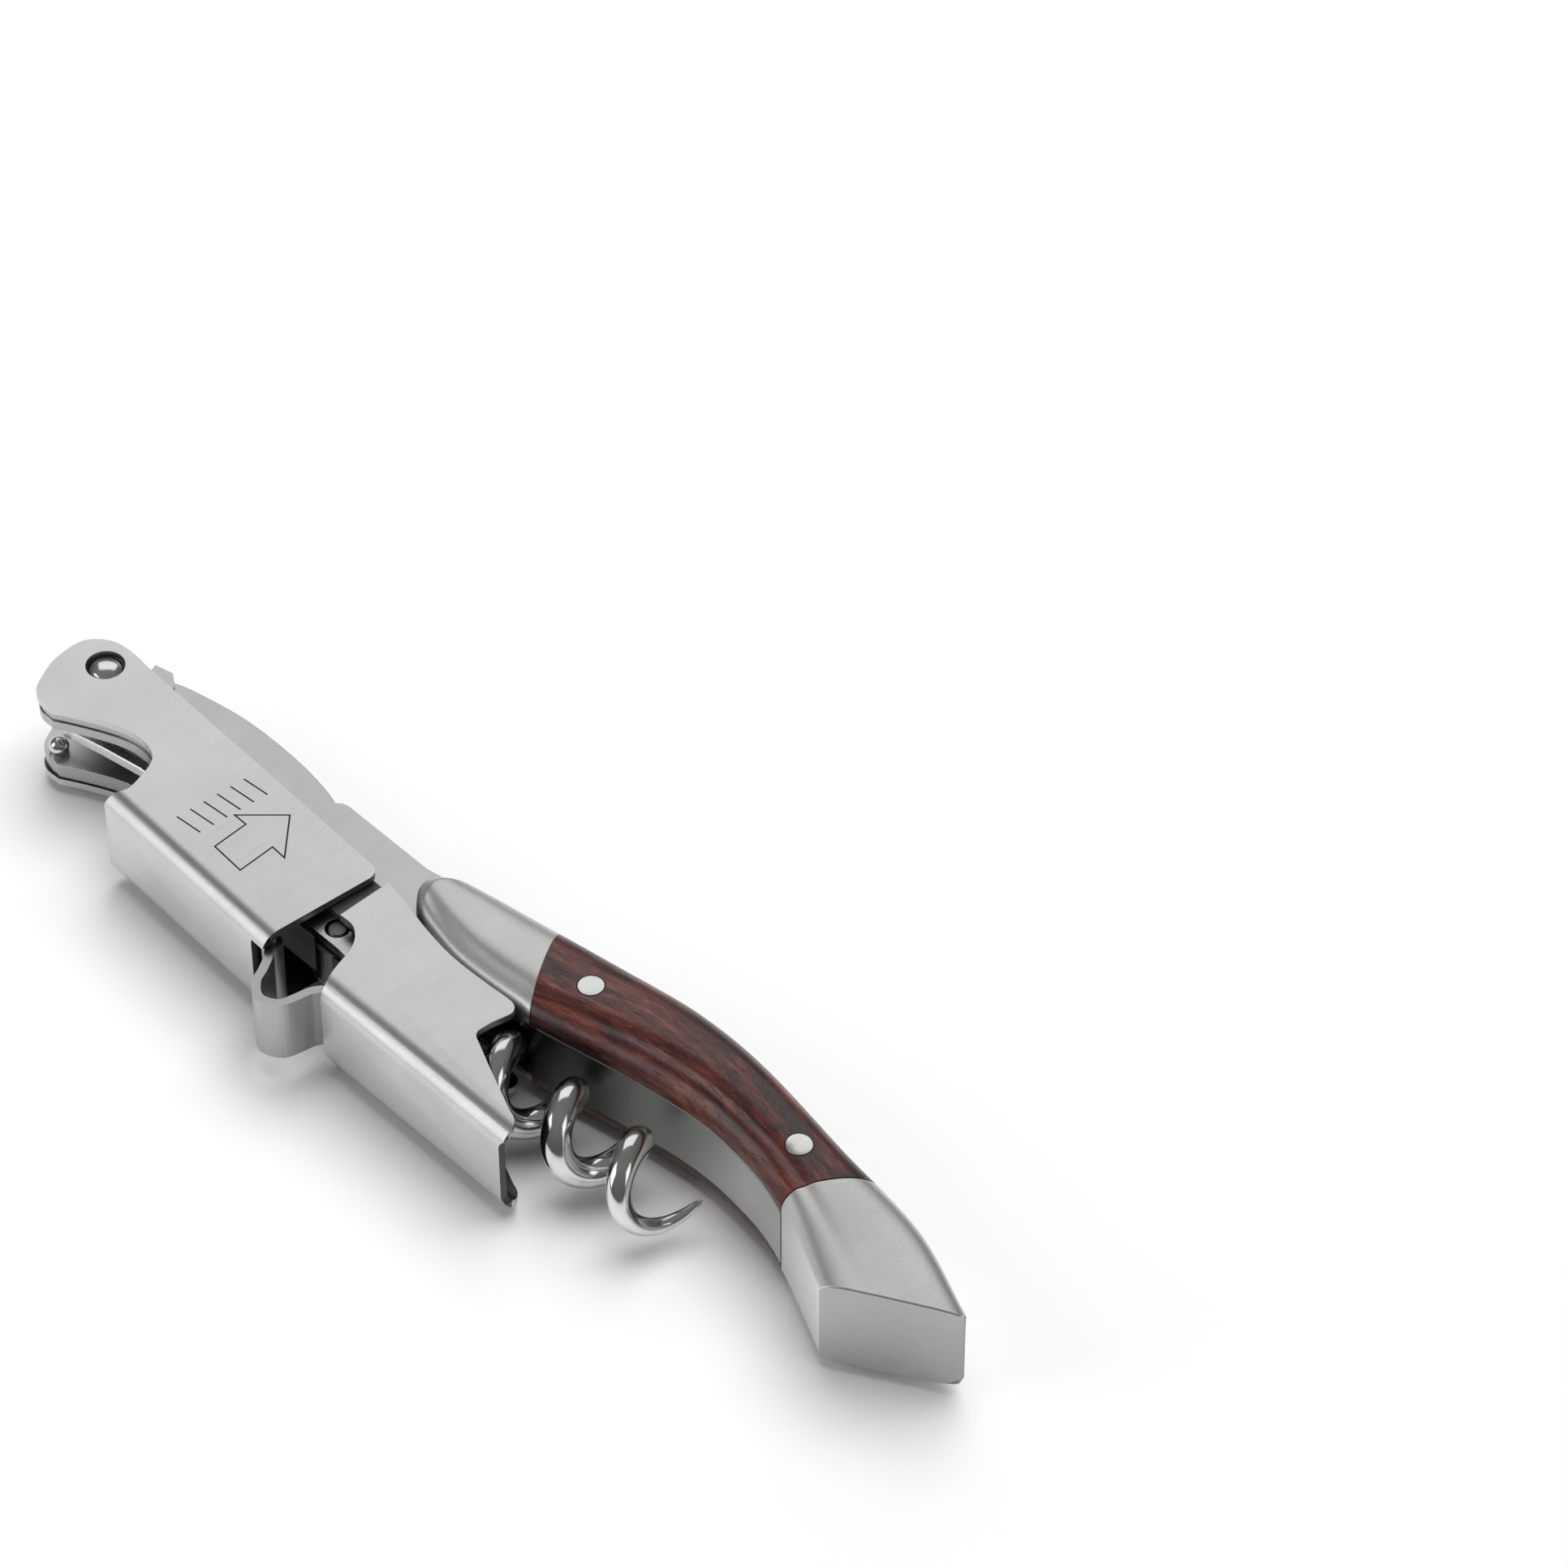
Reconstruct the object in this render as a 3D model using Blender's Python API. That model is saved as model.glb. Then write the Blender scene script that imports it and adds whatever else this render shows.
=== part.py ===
"""Waiter's corkscrew with a two-step lever, lying on its side.

X runs from the head (the lever's rivet) to the tail, +Y is the back of the handle, -Y is the
belly with the lever and the worm, and Z is the thickness. Sizes are in millimetres from the
head rivet's axis at mid thickness; the finished assembly is stood on z = 0 at the end.
"""
import math

import bmesh
import bpy
from mathutils import Matrix, Vector

MM = 0.001

# ---- driving dimensions (mm) --------------------------------------------------------------
OVERALL_LENGTH = 122.0        # beak of the head to the tail's tip
HANDLE_THICKNESS = 13.4       # over the two scales
FRAME_THICKNESS = 7.2         # over the two liners
SHEET = 0.8                   # lever sheet metal
TONGUE = 0.75                 # thickness of the second stage's joggled tongues
LINER_SHEET = 1.1
KNIFE_THICKNESS = 2.0
WORM_WIRE = 3.0
WORM_DIAMETER = 9.0
WORM_PITCH = 8.6
WORM_LENGTH = 45.6            # from its axle to its point
WORM_TILT = math.radians(2.0)  # its axis leans towards the handle
SCALE_RIVET_R = 1.3
HEAD_SHANK_R = 1.0
HEAD_SHOULDER_R = 1.75
WORM_PIN_R = 1.0
HUB_R = 2.3
HINGE_PIN_R = 0.55
EYE_R = 1.1                   # rolled eye of the step strip
STRIP_THICKNESS = 0.9
FIT = 0.25                    # gap left where two fixed pieces touch
RUNNING = 0.06                # radial clearance of a turning pin
SLIDING = 0.125               # gap between the tongues and the plates beside them
WORM_ROOM = 0.3               # gap beside the worm inside the second stage
WORM_BELOW = 2.0              # room between the worm and the second stage's back
BELLY_GAP = 1.0               # the worm's coil stays this far below the handle's axis
STAGE_RISE = 0.2              # the second stage stands this far proud of the first
BEND = 2.0                    # outer bend radius of the lever's channels
LEVER_TILT = math.radians(-2.5)
HINGE_SIDES = 32
THROUGH = 20.0                # reach of a cutter that passes right through

# ---- derived sizes ------------------------------------------------------------------------
S = OVERALL_LENGTH / 122.0                     # every size along and across the handle
LINER_OUT = FRAME_THICKNESS / 2
LINER_IN = LINER_OUT - LINER_SHEET
TONGUE_IN = LINER_OUT + SLIDING
TONGUE_OUT = TONGUE_IN + TONGUE
LEVER_IN = TONGUE_OUT + SLIDING
LEVER_OUT = LEVER_IN + SHEET
STAGE_IN = max(LEVER_IN + STAGE_RISE, WORM_DIAMETER / 2 + WORM_ROOM)
STAGE_OUT = STAGE_IN + SHEET
STRIP_HALF = LEVER_IN - 0.9
SLAB_BASE = LINER_OUT + FIT                    # scales and bolsters sit on the liners here
INNER_HALF = LINER_IN - FIT                    # half height of what sits between the liners
WIRE_R = WORM_WIRE / 2
COIL_R = WORM_DIAMETER / 2 - WIRE_R
SPINE_Y = -11.1 * S                            # first stage's back, in the lever's own axes

HEAD_RIVET = (0.0, 0.0)
STEP_HINGE = (38.6 * S, SPINE_Y - 0.2)
WORM_PIVOT = (41.5 * S, -BELLY_GAP * S - WORM_DIAMETER / 2)
STAGE_SPINE_Y = WORM_PIVOT[1] - WORM_DIAMETER / 2 - WORM_BELOW * S - SHEET
SCALE_RIVETS = {"front": (65.7 * S, 5.4 * S), "rear": (93.5 * S, 6.1 * S)}
LEVER_EYE_R = HEAD_SHOULDER_R + FIT
HANDLE_BORE = FIT / 2                          # radial gap round the rivets in the wood

# Plan curves of the handle: height above the axis at a few stations, joined smoothly.
BACK_EDGE = [(43.0, 5.6), (46.6, 6.9), (57.7, 8.9), (65.4, 10.2), (74.3, 11.5), (83.0, 11.4),
             (95.9, 9.6), (107.6, 8.0), (117.6, 4.1)]
BELLY_EDGE = [(43.0, 2.0), (45.6, 0.75), (49.3, -0.15), (53.0, -0.7), (57.0, -0.7), (60.5, -0.5),
              (63.8, -0.4), (74.8, 1.8), (83.7, 2.9), (91.3, 2.3), (96.3, 0.9), (106.1, -3.5),
              (118.0, -9.0)]
# Along the handle: the share of its half thickness that it keeps, the share of a slab's height
# that stands at its edges, how square its section is, and how deep its belly crease is.
THICKNESS_RUN = [(43.0, 0.88), (52.0, 0.92), (62.0, 0.96), (78.0, 1.0), (96.0, 0.94), (106.0, 0.84),
                 (118.0, 0.78)]
EDGE_RUN = [(43.0, 0.16), (78.0, 0.14), (96.0, 0.14), (106.0, 0.18), (118.0, 0.30)]
SQUARE_RUN = [(43.0, 3.0), (96.0, 3.2), (106.0, 4.2), (118.0, 6.0)]
CREASE_RUN = [(43.0, 0.14), (96.0, 0.14), (106.0, 0.08), (118.0, 0.02)]
CREASE_AT = 0.28              # share of the way from the belly to the back
CREASE_WIDTH = 0.08


# ---- small geometry helpers ---------------------------------------------------------------
def scaled(points):
    """Plan points with the overall size applied."""
    return [(x * S, y * S) for x, y in points]


def curve(stations, along):
    """Value of the smooth curve through the stations, some way along the handle."""
    pts = stations
    x = along / S
    if x <= pts[0][0]:
        return pts[0][1]
    if x >= pts[-1][0]:
        return pts[-1][1]
    i = max(k for k in range(len(pts) - 1) if pts[k][0] <= x)
    (x0, y0), (x1, y1) = pts[i], pts[i + 1]
    before = pts[i - 1] if i > 0 else (2 * x0 - x1, 2 * y0 - y1)
    after = pts[i + 2] if i + 2 < len(pts) else (2 * x1 - x0, 2 * y1 - y0)
    slope0 = (y1 - before[1]) / (x1 - before[0])
    slope1 = (after[1] - y0) / (after[0] - x0)
    h = x1 - x0
    t = (x - x0) / h
    return ((2 * t**3 - 3 * t**2 + 1) * y0 + (t**3 - 2 * t**2 + t) * h * slope0
            + (3 * t**2 - 2 * t**3) * y1 + (t**3 - t**2) * h * slope1)


def edge_y(stations, x):
    return S * curve(stations, x)


def arc(centre, radius, start, end, steps=8):
    """Points on an arc, angles in degrees."""
    out = []
    for k in range(steps + 1):
        a = math.radians(start + (end - start) * k / steps)
        out.append((centre[0] + radius * math.cos(a), centre[1] + radius * math.sin(a)))
    return out


def smooth_path(points, per_span=4):
    """Catmull-Rom curve through plan points."""
    pts = [Vector(p) for p in points]
    pts = [2 * pts[0] - pts[1]] + pts + [2 * pts[-1] - pts[-2]]
    out = []
    for i in range(1, len(pts) - 2):
        p0, p1, p2, p3 = pts[i - 1:i + 3]
        for k in range(per_span):
            t = k / per_span
            out.append(0.5 * (2 * p1 + (p2 - p0) * t + (2 * p0 - 5 * p1 + 4 * p2 - p3) * t**2
                              + (3 * p1 - p0 - 3 * p2 + p3) * t**3))
    out.append(pts[-2])
    return [tuple(p) for p in out]


def turned(points, angle):
    """Plan points turned about the head rivet."""
    c, s = math.cos(angle), math.sin(angle)
    return [(x * c - y * s, x * s + y * c) for x, y in points]


def strip_outline(path, thickness):
    """Closed outline of a strip that follows a path."""
    left, right = [], []
    for i, p in enumerate(path):
        a = Vector(path[max(i - 1, 0)])
        b = Vector(path[min(i + 1, len(path) - 1)])
        normal = Vector((a.y - b.y, b.x - a.x)).normalized() * thickness / 2
        left.append((p[0] + normal.x, p[1] + normal.y))
        right.append((p[0] - normal.x, p[1] - normal.y))
    return left + right[::-1]


# ---- scene set-up -------------------------------------------------------------------------
for old in list(bpy.data.objects):
    bpy.data.objects.remove(old, do_unlink=True)

COLLECTION = bpy.context.scene.collection


def empty(name, at, parent=None):
    holder = bpy.data.objects.new(name, None)
    holder.empty_display_size = 5 * MM
    holder.parent = parent
    base = parent["pivot"] if parent else (0.0, 0.0)
    holder["pivot"] = at
    holder.location = ((at[0] - base[0]) * MM, (at[1] - base[1]) * MM, 0)
    COLLECTION.objects.link(holder)
    return holder


FRAME = empty("frame_origin", (0.0, 0.0))
LEVER = empty("lever_pivot", HEAD_RIVET, FRAME)
STEP = empty("step_hinge", STEP_HINGE, LEVER)
WORM = empty("worm_pivot", WORM_PIVOT, FRAME)
KNIFE = empty("knife_pivot", HEAD_RIVET, FRAME)


def material(name, colour, roughness, metallic):
    made = bpy.data.materials.new(name)
    made.use_nodes = True
    shader = made.node_tree.nodes["Principled BSDF"]
    shader.inputs["Base Color"].default_value = (*colour, 1)
    shader.inputs["Roughness"].default_value = roughness
    shader.inputs["Metallic"].default_value = metallic
    return made


def metal(name, level=0.62, roughness=0.3):
    return material(name, (level, level, level * 0.99), roughness, 1.0)


def new_object(name, bm, holder, finish, smooth_angle=35):
    """Link a mesh, measured in mm from the assembly's axes, below its holder."""
    bmesh.ops.recalc_face_normals(bm, faces=bm.faces)
    bmesh.ops.scale(bm, vec=(MM, MM, MM), verts=bm.verts)
    mesh = bpy.data.meshes.new(name)
    bm.to_mesh(mesh)
    bm.free()
    if finish:
        mesh.materials.append(finish)
    mesh.shade_smooth()
    mesh.set_sharp_from_angle(angle=math.radians(smooth_angle))
    obj = bpy.data.objects.new(name, mesh)
    COLLECTION.objects.link(obj)
    obj.parent = holder
    x, y = holder["pivot"]
    obj.location = (-x * MM, -y * MM, 0)
    return obj


def prism(outline, low, high):
    """Solid between two heights over a plan outline."""
    bm = bmesh.new()
    face = bm.faces.new([bm.verts.new((x, y, low)) for x, y in outline])
    grown = bmesh.ops.extrude_face_region(bm, geom=[face])
    top = [v for v in grown["geom"] if isinstance(v, bmesh.types.BMVert)]
    bmesh.ops.translate(bm, vec=(0, 0, high - low), verts=top)
    return bm


def cylinder(centre, radius, low, high, sides=HINGE_SIDES):
    return prism(arc(centre, radius, 0, 360 * (1 - 1 / sides), sides - 1), low, high)


def cut(target, bm, name, operation="DIFFERENCE"):
    """Boolean one mesh out of, into or across a piece; the cutter stays as a hidden guide."""
    holder = target.parent
    cutter = new_object(name, bm, holder, None)
    cutter.hide_render = True
    cutter.display_type = "WIRE"
    step = target.modifiers.new(name, "BOOLEAN")
    step.operation = operation
    step.solver = "EXACT"
    step.object = cutter
    return cutter


def plate(name, outline, low, high, holder, finish):
    return new_object(name, prism(outline, low, high), holder, finish)


def round_pin(name, centre, radius, half, holder, finish, crown=0.15):
    """Straight pin with lightly chamfered ends."""
    return turned_piece(name, centre, [(0, half), (radius - crown, half), (radius, half - crown),
                                       (radius, crown - half), (radius - crown, -half), (0, -half)],
                        holder, finish)


def turned_piece(name, centre, profile, holder, finish, sides=HINGE_SIDES):
    """Solid of revolution about a vertical axis; the profile runs (radius, z) top to bottom."""
    bm = bmesh.new()
    rings = []
    for radius, z in profile:
        if radius == 0:
            rings.append([bm.verts.new((centre[0], centre[1], z))])
            continue
        rings.append([bm.verts.new((x, y, z)) for x, y in
                      arc(centre, radius, 0, 360 * (1 - 1 / sides), sides - 1)])
    for upper, lower in zip(rings, rings[1:]):
        for k in range(sides):
            j = (k + 1) % sides
            corners = [upper[k % len(upper)], upper[j % len(upper)],
                       lower[j % len(lower)], lower[k % len(lower)]]
            bm.faces.new(list(dict.fromkeys(corners)))
    return new_object(name, bm, holder, finish)


def washer(name, centre, outer, inner, low, high, holder, finish):
    """Flat ring with a real hole."""
    bm = bmesh.new()
    rings = []
    for radius, z in ((inner, high), (outer, high), (outer, low), (inner, low)):
        rings.append([bm.verts.new((x, y, z)) for x, y in
                      arc(centre, radius, 0, 360 * (1 - 1 / HINGE_SIDES), HINGE_SIDES - 1)])
    for a, b in zip(rings, rings[1:] + rings[:1]):
        for k in range(HINGE_SIDES):
            j = (k + 1) % HINGE_SIDES
            bm.faces.new((a[k], a[j], b[j], b[k]))
    return new_object(name, bm, holder, finish)


# ---- materials ----------------------------------------------------------------------------
BRUSHED = metal("lever_steel", 0.66, 0.32)
LINER_STEEL = metal("liner_steel", 0.6, 0.35)
SATIN = metal("bolster_steel", 0.6, 0.42)
POLISHED = metal("polished_steel", 0.75, 0.12)
WORM_STEEL = metal("worm_steel", 0.6, 0.08)
SPRING_STEEL = metal("spring_steel", 0.5, 0.4)
BLADE_STEEL = metal("blade_steel", 0.62, 0.3)
ROSEWOOD = material("rosewood", (0.16, 0.045, 0.03), 0.35, 0.0)


# ---- lever, first stage -------------------------------------------------------------------
def channel(spine_y, open_y, half, x0, x1, angle=0.0):
    """U-shaped sheet channel along X, open towards +Y, bent with a generous radius."""
    inner_r = BEND - SHEET
    outer = [(open_y, half)] + arc((spine_y + BEND, half - BEND), BEND, 90, 180, 6)
    inner = [(open_y, half - SHEET)] + arc((spine_y + BEND, half - BEND), inner_r, 90, 180, 6)
    profile = outer + [(y, -z) for y, z in outer[::-1]] + [(y, -z) for y, z in inner]
    profile += inner[::-1]
    bm = bmesh.new()
    ends = []
    for x in (x0, x1):
        ring = []
        for y, z in profile:
            (px, py), = turned([(x, y)], angle)
            ring.append(bm.verts.new((px, py, z)))
        ends.append(ring)
    n = len(profile)
    for k in range(n):
        j = (k + 1) % n
        bm.faces.new((ends[0][k], ends[0][j], ends[1][j], ends[1][k]))
    bm.faces.new(ends[0])
    bm.faces.new(ends[1][::-1])
    return bm


BEAK = [(3.0, 3.03), (1.2, 3.12), (-0.4, 3.05), (-2.1, 2.65), (-3.6, 1.5), (-4.35, -0.2),
        (-4.0, -3.3), (-2.9, -5.6), (-1.9, -7.1), (-0.5, -7.8), (1.3, -7.7)]
MOUTH = [(1.3, -7.7), (3.0, -6.6), (6.3, -4.75), (8.8, -3.75), (11.1, -3.5), (12.9, -3.95),
         (13.9, -5.0), (14.7, -7.0), (15.1, -8.6), (14.6, -9.8)]

first_stage_plan = scaled(smooth_path(BEAK, 3)[:-1] + smooth_path(MOUTH, 3)
                          + [(14.0, -12.0), (39.4, -12.0)]
                          + [(39.5, -10.0)] + arc((38.7, 1.8), 1.25, 0, 90, 5))
first_stage = new_object("lever_first_stage",
                         channel(SPINE_Y, 6 * S, LEVER_OUT, -6 * S, 41 * S, LEVER_TILT),
                         LEVER, BRUSHED)
cut(first_stage, prism(turned(first_stage_plan, LEVER_TILT), -THROUGH, THROUGH),
    "guide_first_stage_plan", "INTERSECT")
KNUCKLE_ROOM = EYE_R + 0.3
room_x = STEP_HINGE[0] - KNUCKLE_ROOM
room_y = STEP_HINGE[1] + KNUCKLE_ROOM
knuckle_room = [(room_x, room_y - 5.0), (room_x + 5.0, room_y - 5.0), (room_x + 5.0, room_y),
                (room_x, room_y)]
cut(first_stage, prism(knuckle_room, -STRIP_HALF - FIT, STRIP_HALF + FIT), "guide_knuckle_room")
cut(first_stage, cylinder(HEAD_RIVET, LEVER_EYE_R, -THROUGH, THROUGH), "guide_lever_eye")
cut(first_stage, cylinder(STEP_HINGE, HINGE_PIN_R + FIT, -LEVER_IN, LEVER_IN), "guide_pin_seat")


def back_hollow(x, y, reach, half, toward):
    """Cutter that hollows the end of a channel's back and leaves its flanges' tips standing."""
    round_r = 1.2
    far = x + toward * 6.0
    outline = [(far, half), (far, -half)]
    lower = arc((x + toward * round_r, round_r - half), round_r, -90, -90 - 90 * toward, 4)
    upper = arc((x + toward * round_r, half - round_r), round_r, 90 + 90 * toward, 90, 4)
    bm = prism(outline + lower + upper, -reach, reach)
    bmesh.ops.rotate(bm, verts=bm.verts, cent=(0, 0, 0), matrix=Matrix.Rotation(math.pi / 2, 3, "X"))
    bmesh.ops.translate(bm, verts=bm.verts, vec=(0, y, 0))
    return bm


HOLLOW = 0.9                   # depth of the hollows in the backs' ends
STAGE_HOLLOW = 0.5
HOLLOW_REACH = BEND + 0.4
hollow = back_hollow(14.0 * S + HOLLOW * 0.6, SPINE_Y, HOLLOW_REACH, LEVER_OUT - HOLLOW, -1)
bmesh.ops.rotate(hollow, verts=hollow.verts, cent=(0, 0, 0), matrix=Matrix.Rotation(LEVER_TILT, 3, "Z"))
cut(first_stage, hollow, "guide_back_hollow")

# The hinge pin stands between the flanges; the step strip's rolled eye turns on it.
round_pin("step_hinge_pin", STEP_HINGE, HINGE_PIN_R, LEVER_IN - FIT, LEVER, POLISHED)

# ---- lever, second stage ------------------------------------------------------------------
boot_y = STAGE_SPINE_Y + 0.9
second_back = scaled(smooth_path([(41.8, 0.9), (45.0, 0.3), (48.6, -0.5), (53.0, -1.1),
                                  (57.5, -1.05), (60.6, -0.85)], 3)
                     + arc((61.4, -2.0), 1.15, 90, 0, 4)
                     + [(62.1, -4.0)] + arc((63.0, -5.4), 1.0, 180, 240, 3) + [(66.0, -7.8)])
second_boot = [(71.5 * S, boot_y + 1.8)] + arc((71.6 * S, boot_y), 1.7, 75, 0, 4)
second_foot = [(71.6 * S + 1.7, STAGE_SPINE_Y - 2.0), (47.6 * S, STAGE_SPINE_Y - 2.0),
               (47.4 * S, STAGE_SPINE_Y + 0.6)]
second_hook = smooth_path([(47.2 * S, STAGE_SPINE_Y + 1.2)]
                          + scaled([(46.5, -9.6), (45.9, -7.6), (44.9, -6.1), (43.5, -5.3),
                                    (41.8, -5.3)]), 3)
second_plan = second_back + second_boot + second_foot + second_hook
second_stage = new_object("lever_second_stage",
                          channel(STAGE_SPINE_Y, 4 * S, STAGE_OUT, 40 * S, 75 * S),
                          STEP, BRUSHED)
cut(second_stage, prism(second_plan, -THROUGH, THROUGH), "guide_second_stage_plan", "INTERSECT")
cut(second_stage, back_hollow(71.6 * S + 1.7 - STAGE_HOLLOW, STAGE_SPINE_Y, HOLLOW_REACH,
                              STAGE_OUT - HOLLOW, 1), "guide_stage_hollow")


def tongue(side):
    """Joggled tongue: it steps down from the flange to slide under the first stage."""
    joggle_out = STAGE_OUT - SHEET / 2
    profile = [(36.3 * S, TONGUE_OUT), (41.8 * S, TONGUE_OUT), (41.8 * S, joggle_out),
               (42.7 * S, joggle_out), (42.7 * S, TONGUE_IN), (36.3 * S, TONGUE_IN)]
    bm = bmesh.new()
    near = [bm.verts.new((x, -4.8 * S, side * z)) for x, z in profile]
    far = [bm.verts.new((x, 0.6 * S, side * z)) for x, z in profile]
    for k in range(len(profile)):
        j = (k + 1) % len(profile)
        bm.faces.new((near[k], near[j], far[j], far[k]))
    bm.faces.new(near)
    bm.faces.new(far[::-1])
    return bm


cut(second_stage, tongue(1), "guide_tongue_top", "UNION")
cut(second_stage, tongue(-1), "guide_tongue_bottom", "UNION")

# The step strip bulges out round the first step and is tucked inside the second stage's back.
tucked_y = STAGE_SPINE_Y + SHEET + FIT + STRIP_THICKNESS / 2
from_hinge = [(0.4, -0.65), (1.3, -1.6), (2.1, -2.9), (2.9, -4.4), (4.6, -5.45), (6.4, -4.6)]
bulge = [(STEP_HINGE[0] + x * S, STEP_HINGE[1] + y * S) for x, y in from_hinge]
from_tuck = [(45.6, -2.9), (46.0, -1.25), (47.1, -0.1), (49.5, 0.0), (55.5, 0.0)]
tucked = [(x * S, tucked_y + y) for x, y in from_tuck]
strip_path = smooth_path(bulge + tucked, 4)
strip = new_object("first_step_strip",
                   prism(strip_outline(strip_path, STRIP_THICKNESS), -STRIP_HALF, STRIP_HALF),
                   STEP, POLISHED)
cut(strip, cylinder(STEP_HINGE, EYE_R, -STRIP_HALF + 0.01, STRIP_HALF - 0.01),
    "guide_strip_eye", "UNION")
cut(strip, cylinder(STEP_HINGE, HINGE_PIN_R + RUNNING, -THROUGH, THROUGH), "guide_strip_bore")

# ---- frame: liners ------------------------------------------------------------------------
ROOM_ANGLES = (-18, 24)       # sweep of the worm's first coil, which the liners stay clear of
LINER_INSET = 0.2             # the liners' head stands back from the lever's edge


def scale_end(t):
    """X of the front edge of the wood, t from belly 0 to back 1."""
    return (63.4 - 5.7 * t - 1.6 * t * (1 - t)) * S


def tail_start(t):
    """X of the tail cap's front edge."""
    return (96.6 + 4.2 * t**1.6) * S


def tail_end(t):
    """X of the slanted end face, with its back corner cut square."""
    return (106.1 + 11.5 * min(1.0, t / 0.946)) * S


def across(x, t):
    low, high = edge_y(BELLY_EDGE, x), edge_y(BACK_EDGE, x)
    return low + (high - low) * t


def edge_run(stations, x0, x1, count):
    """Points along one edge of the handle."""
    out = []
    for k in range(count + 1):
        x = x0 + (x1 - x0) * k / count
        out.append((x, edge_y(stations, x)))
    return out


def tail_front_points(inset, last=1.0, count=6):
    """Points a little ahead of the tail cap's front edge, from the belly up to t = last."""
    shares = [last * k / count for k in range(count + 1)]
    return [(tail_start(t) - inset, across(tail_start(t) - inset, t)) for t in shares]


def liner_outline():
    head = turned(scaled([(x + LINER_INSET * 0.4, y * 0.985) for x, y in smooth_path(BEAK, 3)[:-1]]),
                  LEVER_TILT)
    mouth = turned(scaled(smooth_path(MOUTH, 3)[:-4]), LEVER_TILT)
    belly = scaled([(15.6, -7.4), (43.5, -7.2)])
    around = arc(WORM_PIVOT, 7.0 * S, *ROOM_ANGLES, 6)
    wood = edge_run(BELLY_EDGE, 52.5 * S, tail_start(0) - FIT, 22)
    tail = tail_front_points(FIT)[1:]
    back = edge_run(BACK_EDGE, tail[-1][0], 46 * S, 22)[1:]
    shoulder = scaled([(41.6, 5.9), (29.9, 5.9)] + smooth_path([(29.3, 5.7), (28.0, 4.6), (26.1, 2.9),
                                                                (24.5, 1.0)], 2)
                      + [(7.5, 1.0), (5.4, 4.3), (4.0, 5.2), (1.9, 4.7)])
    return head[1:] + mouth + belly + around + wood + tail + back + shoulder


def with_holes(target, holes, tag):
    for k, (centre, radius) in enumerate(holes):
        cut(target, cylinder(centre, radius, -THROUGH, THROUGH), f"guide_{tag}_{k + 1}")


for side, tag in ((1, "top"), (-1, "bottom")):
    low, high = sorted((side * LINER_IN, side * LINER_OUT))
    liner = plate(f"liner_{tag}", liner_outline(), low, high, FRAME, LINER_STEEL)
    with_holes(liner, [(HEAD_RIVET, HEAD_SHANK_R + FIT), (WORM_PIVOT, WORM_PIN_R + FIT)]
               + [(p, SCALE_RIVET_R + FIT) for p in SCALE_RIVETS.values()], f"liner_{tag}_hole")

# Shims that fill the lever's width at the head; their outline is the liners' own head.
shim_back = scaled([(24.0, -6.0), (24.0, 0.6), (7.5, 0.6), (5.4, 2.6), (1.9, 2.7)])
shim_outline = (turned(scaled([(x + LINER_INSET, y * 0.97) for x, y in smooth_path(BEAK, 3)[:-1]]),
                       LEVER_TILT)[1:]
                + turned(scaled([(x, y + LINER_INSET) for x, y in smooth_path(MOUTH, 3)[:-5]]),
                         LEVER_TILT) + shim_back)
for side, tag in ((1, "top"), (-1, "bottom")):
    low, high = sorted((side * (LINER_OUT + FIT), side * (LEVER_IN - SLIDING)))
    shim = plate(f"head_shim_{tag}", shim_outline, low, high, FRAME, LINER_STEEL)
    with_holes(shim, [(HEAD_RIVET, HEAD_SHOULDER_R + FIT)], f"head_shim_{tag}_hole")

# ---- frame: what sits between the liners --------------------------------------------------
SPRING_DEPTH = 1.9 * S
core_front = 63.2 * S
CORE_TOP = 0.72                # the core reaches this far up the tail cap's front
core_outline = (edge_run(BELLY_EDGE, core_front, tail_start(0) - FIT, 16)
                + tail_front_points(FIT, CORE_TOP)[1:]
                + [(x, y - SPRING_DEPTH - FIT) for x, y in
                   edge_run(BACK_EDGE, tail_start(CORE_TOP) - 1.0, core_front, 14)])
core = plate("handle_core", core_outline, -INNER_HALF, INNER_HALF, FRAME, LINER_STEEL)
with_holes(core, [(p, SCALE_RIVET_R + FIT) for p in SCALE_RIVETS.values()], "core_hole")

back_run = edge_run(BACK_EDGE, 46.6 * S, tail_start(0.8) - FIT, 24)
plate("back_spring", [(x, y - SPRING_DEPTH) for x, y in back_run] + back_run[::-1],
      -INNER_HALF, INNER_HALF, FRAME, SPRING_STEEL)

LEAF = 1.0
LEAF_HALF = 1.2
KNIFE_BAR = 1.3
leaf_y = WORM_PIVOT[1] + HUB_R + FIT + LEAF / 2
worm_spring_path = smooth_path([(WORM_PIVOT[0] - 1.1, leaf_y), (WORM_PIVOT[0] + 3.0, leaf_y)]
                               + scaled([(48.5, -0.3), (53.0, 1.7), (57.5, 3.1), (61.6, 3.6)]), 3)
plate("worm_spring", strip_outline(worm_spring_path, LEAF), -LEAF_HALF, LEAF_HALF, FRAME,
      SPRING_STEEL)
knife_spring_path = scaled([(-0.3, -5.3), (4.6, -4.2), (9.6, -3.3), (24.0, -3.3), (35.5, -3.2)])
plate("knife_spring", strip_outline(knife_spring_path, KNIFE_BAR), -KNIFE_BAR / 2, KNIFE_BAR / 2,
      FRAME, POLISHED)

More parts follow.
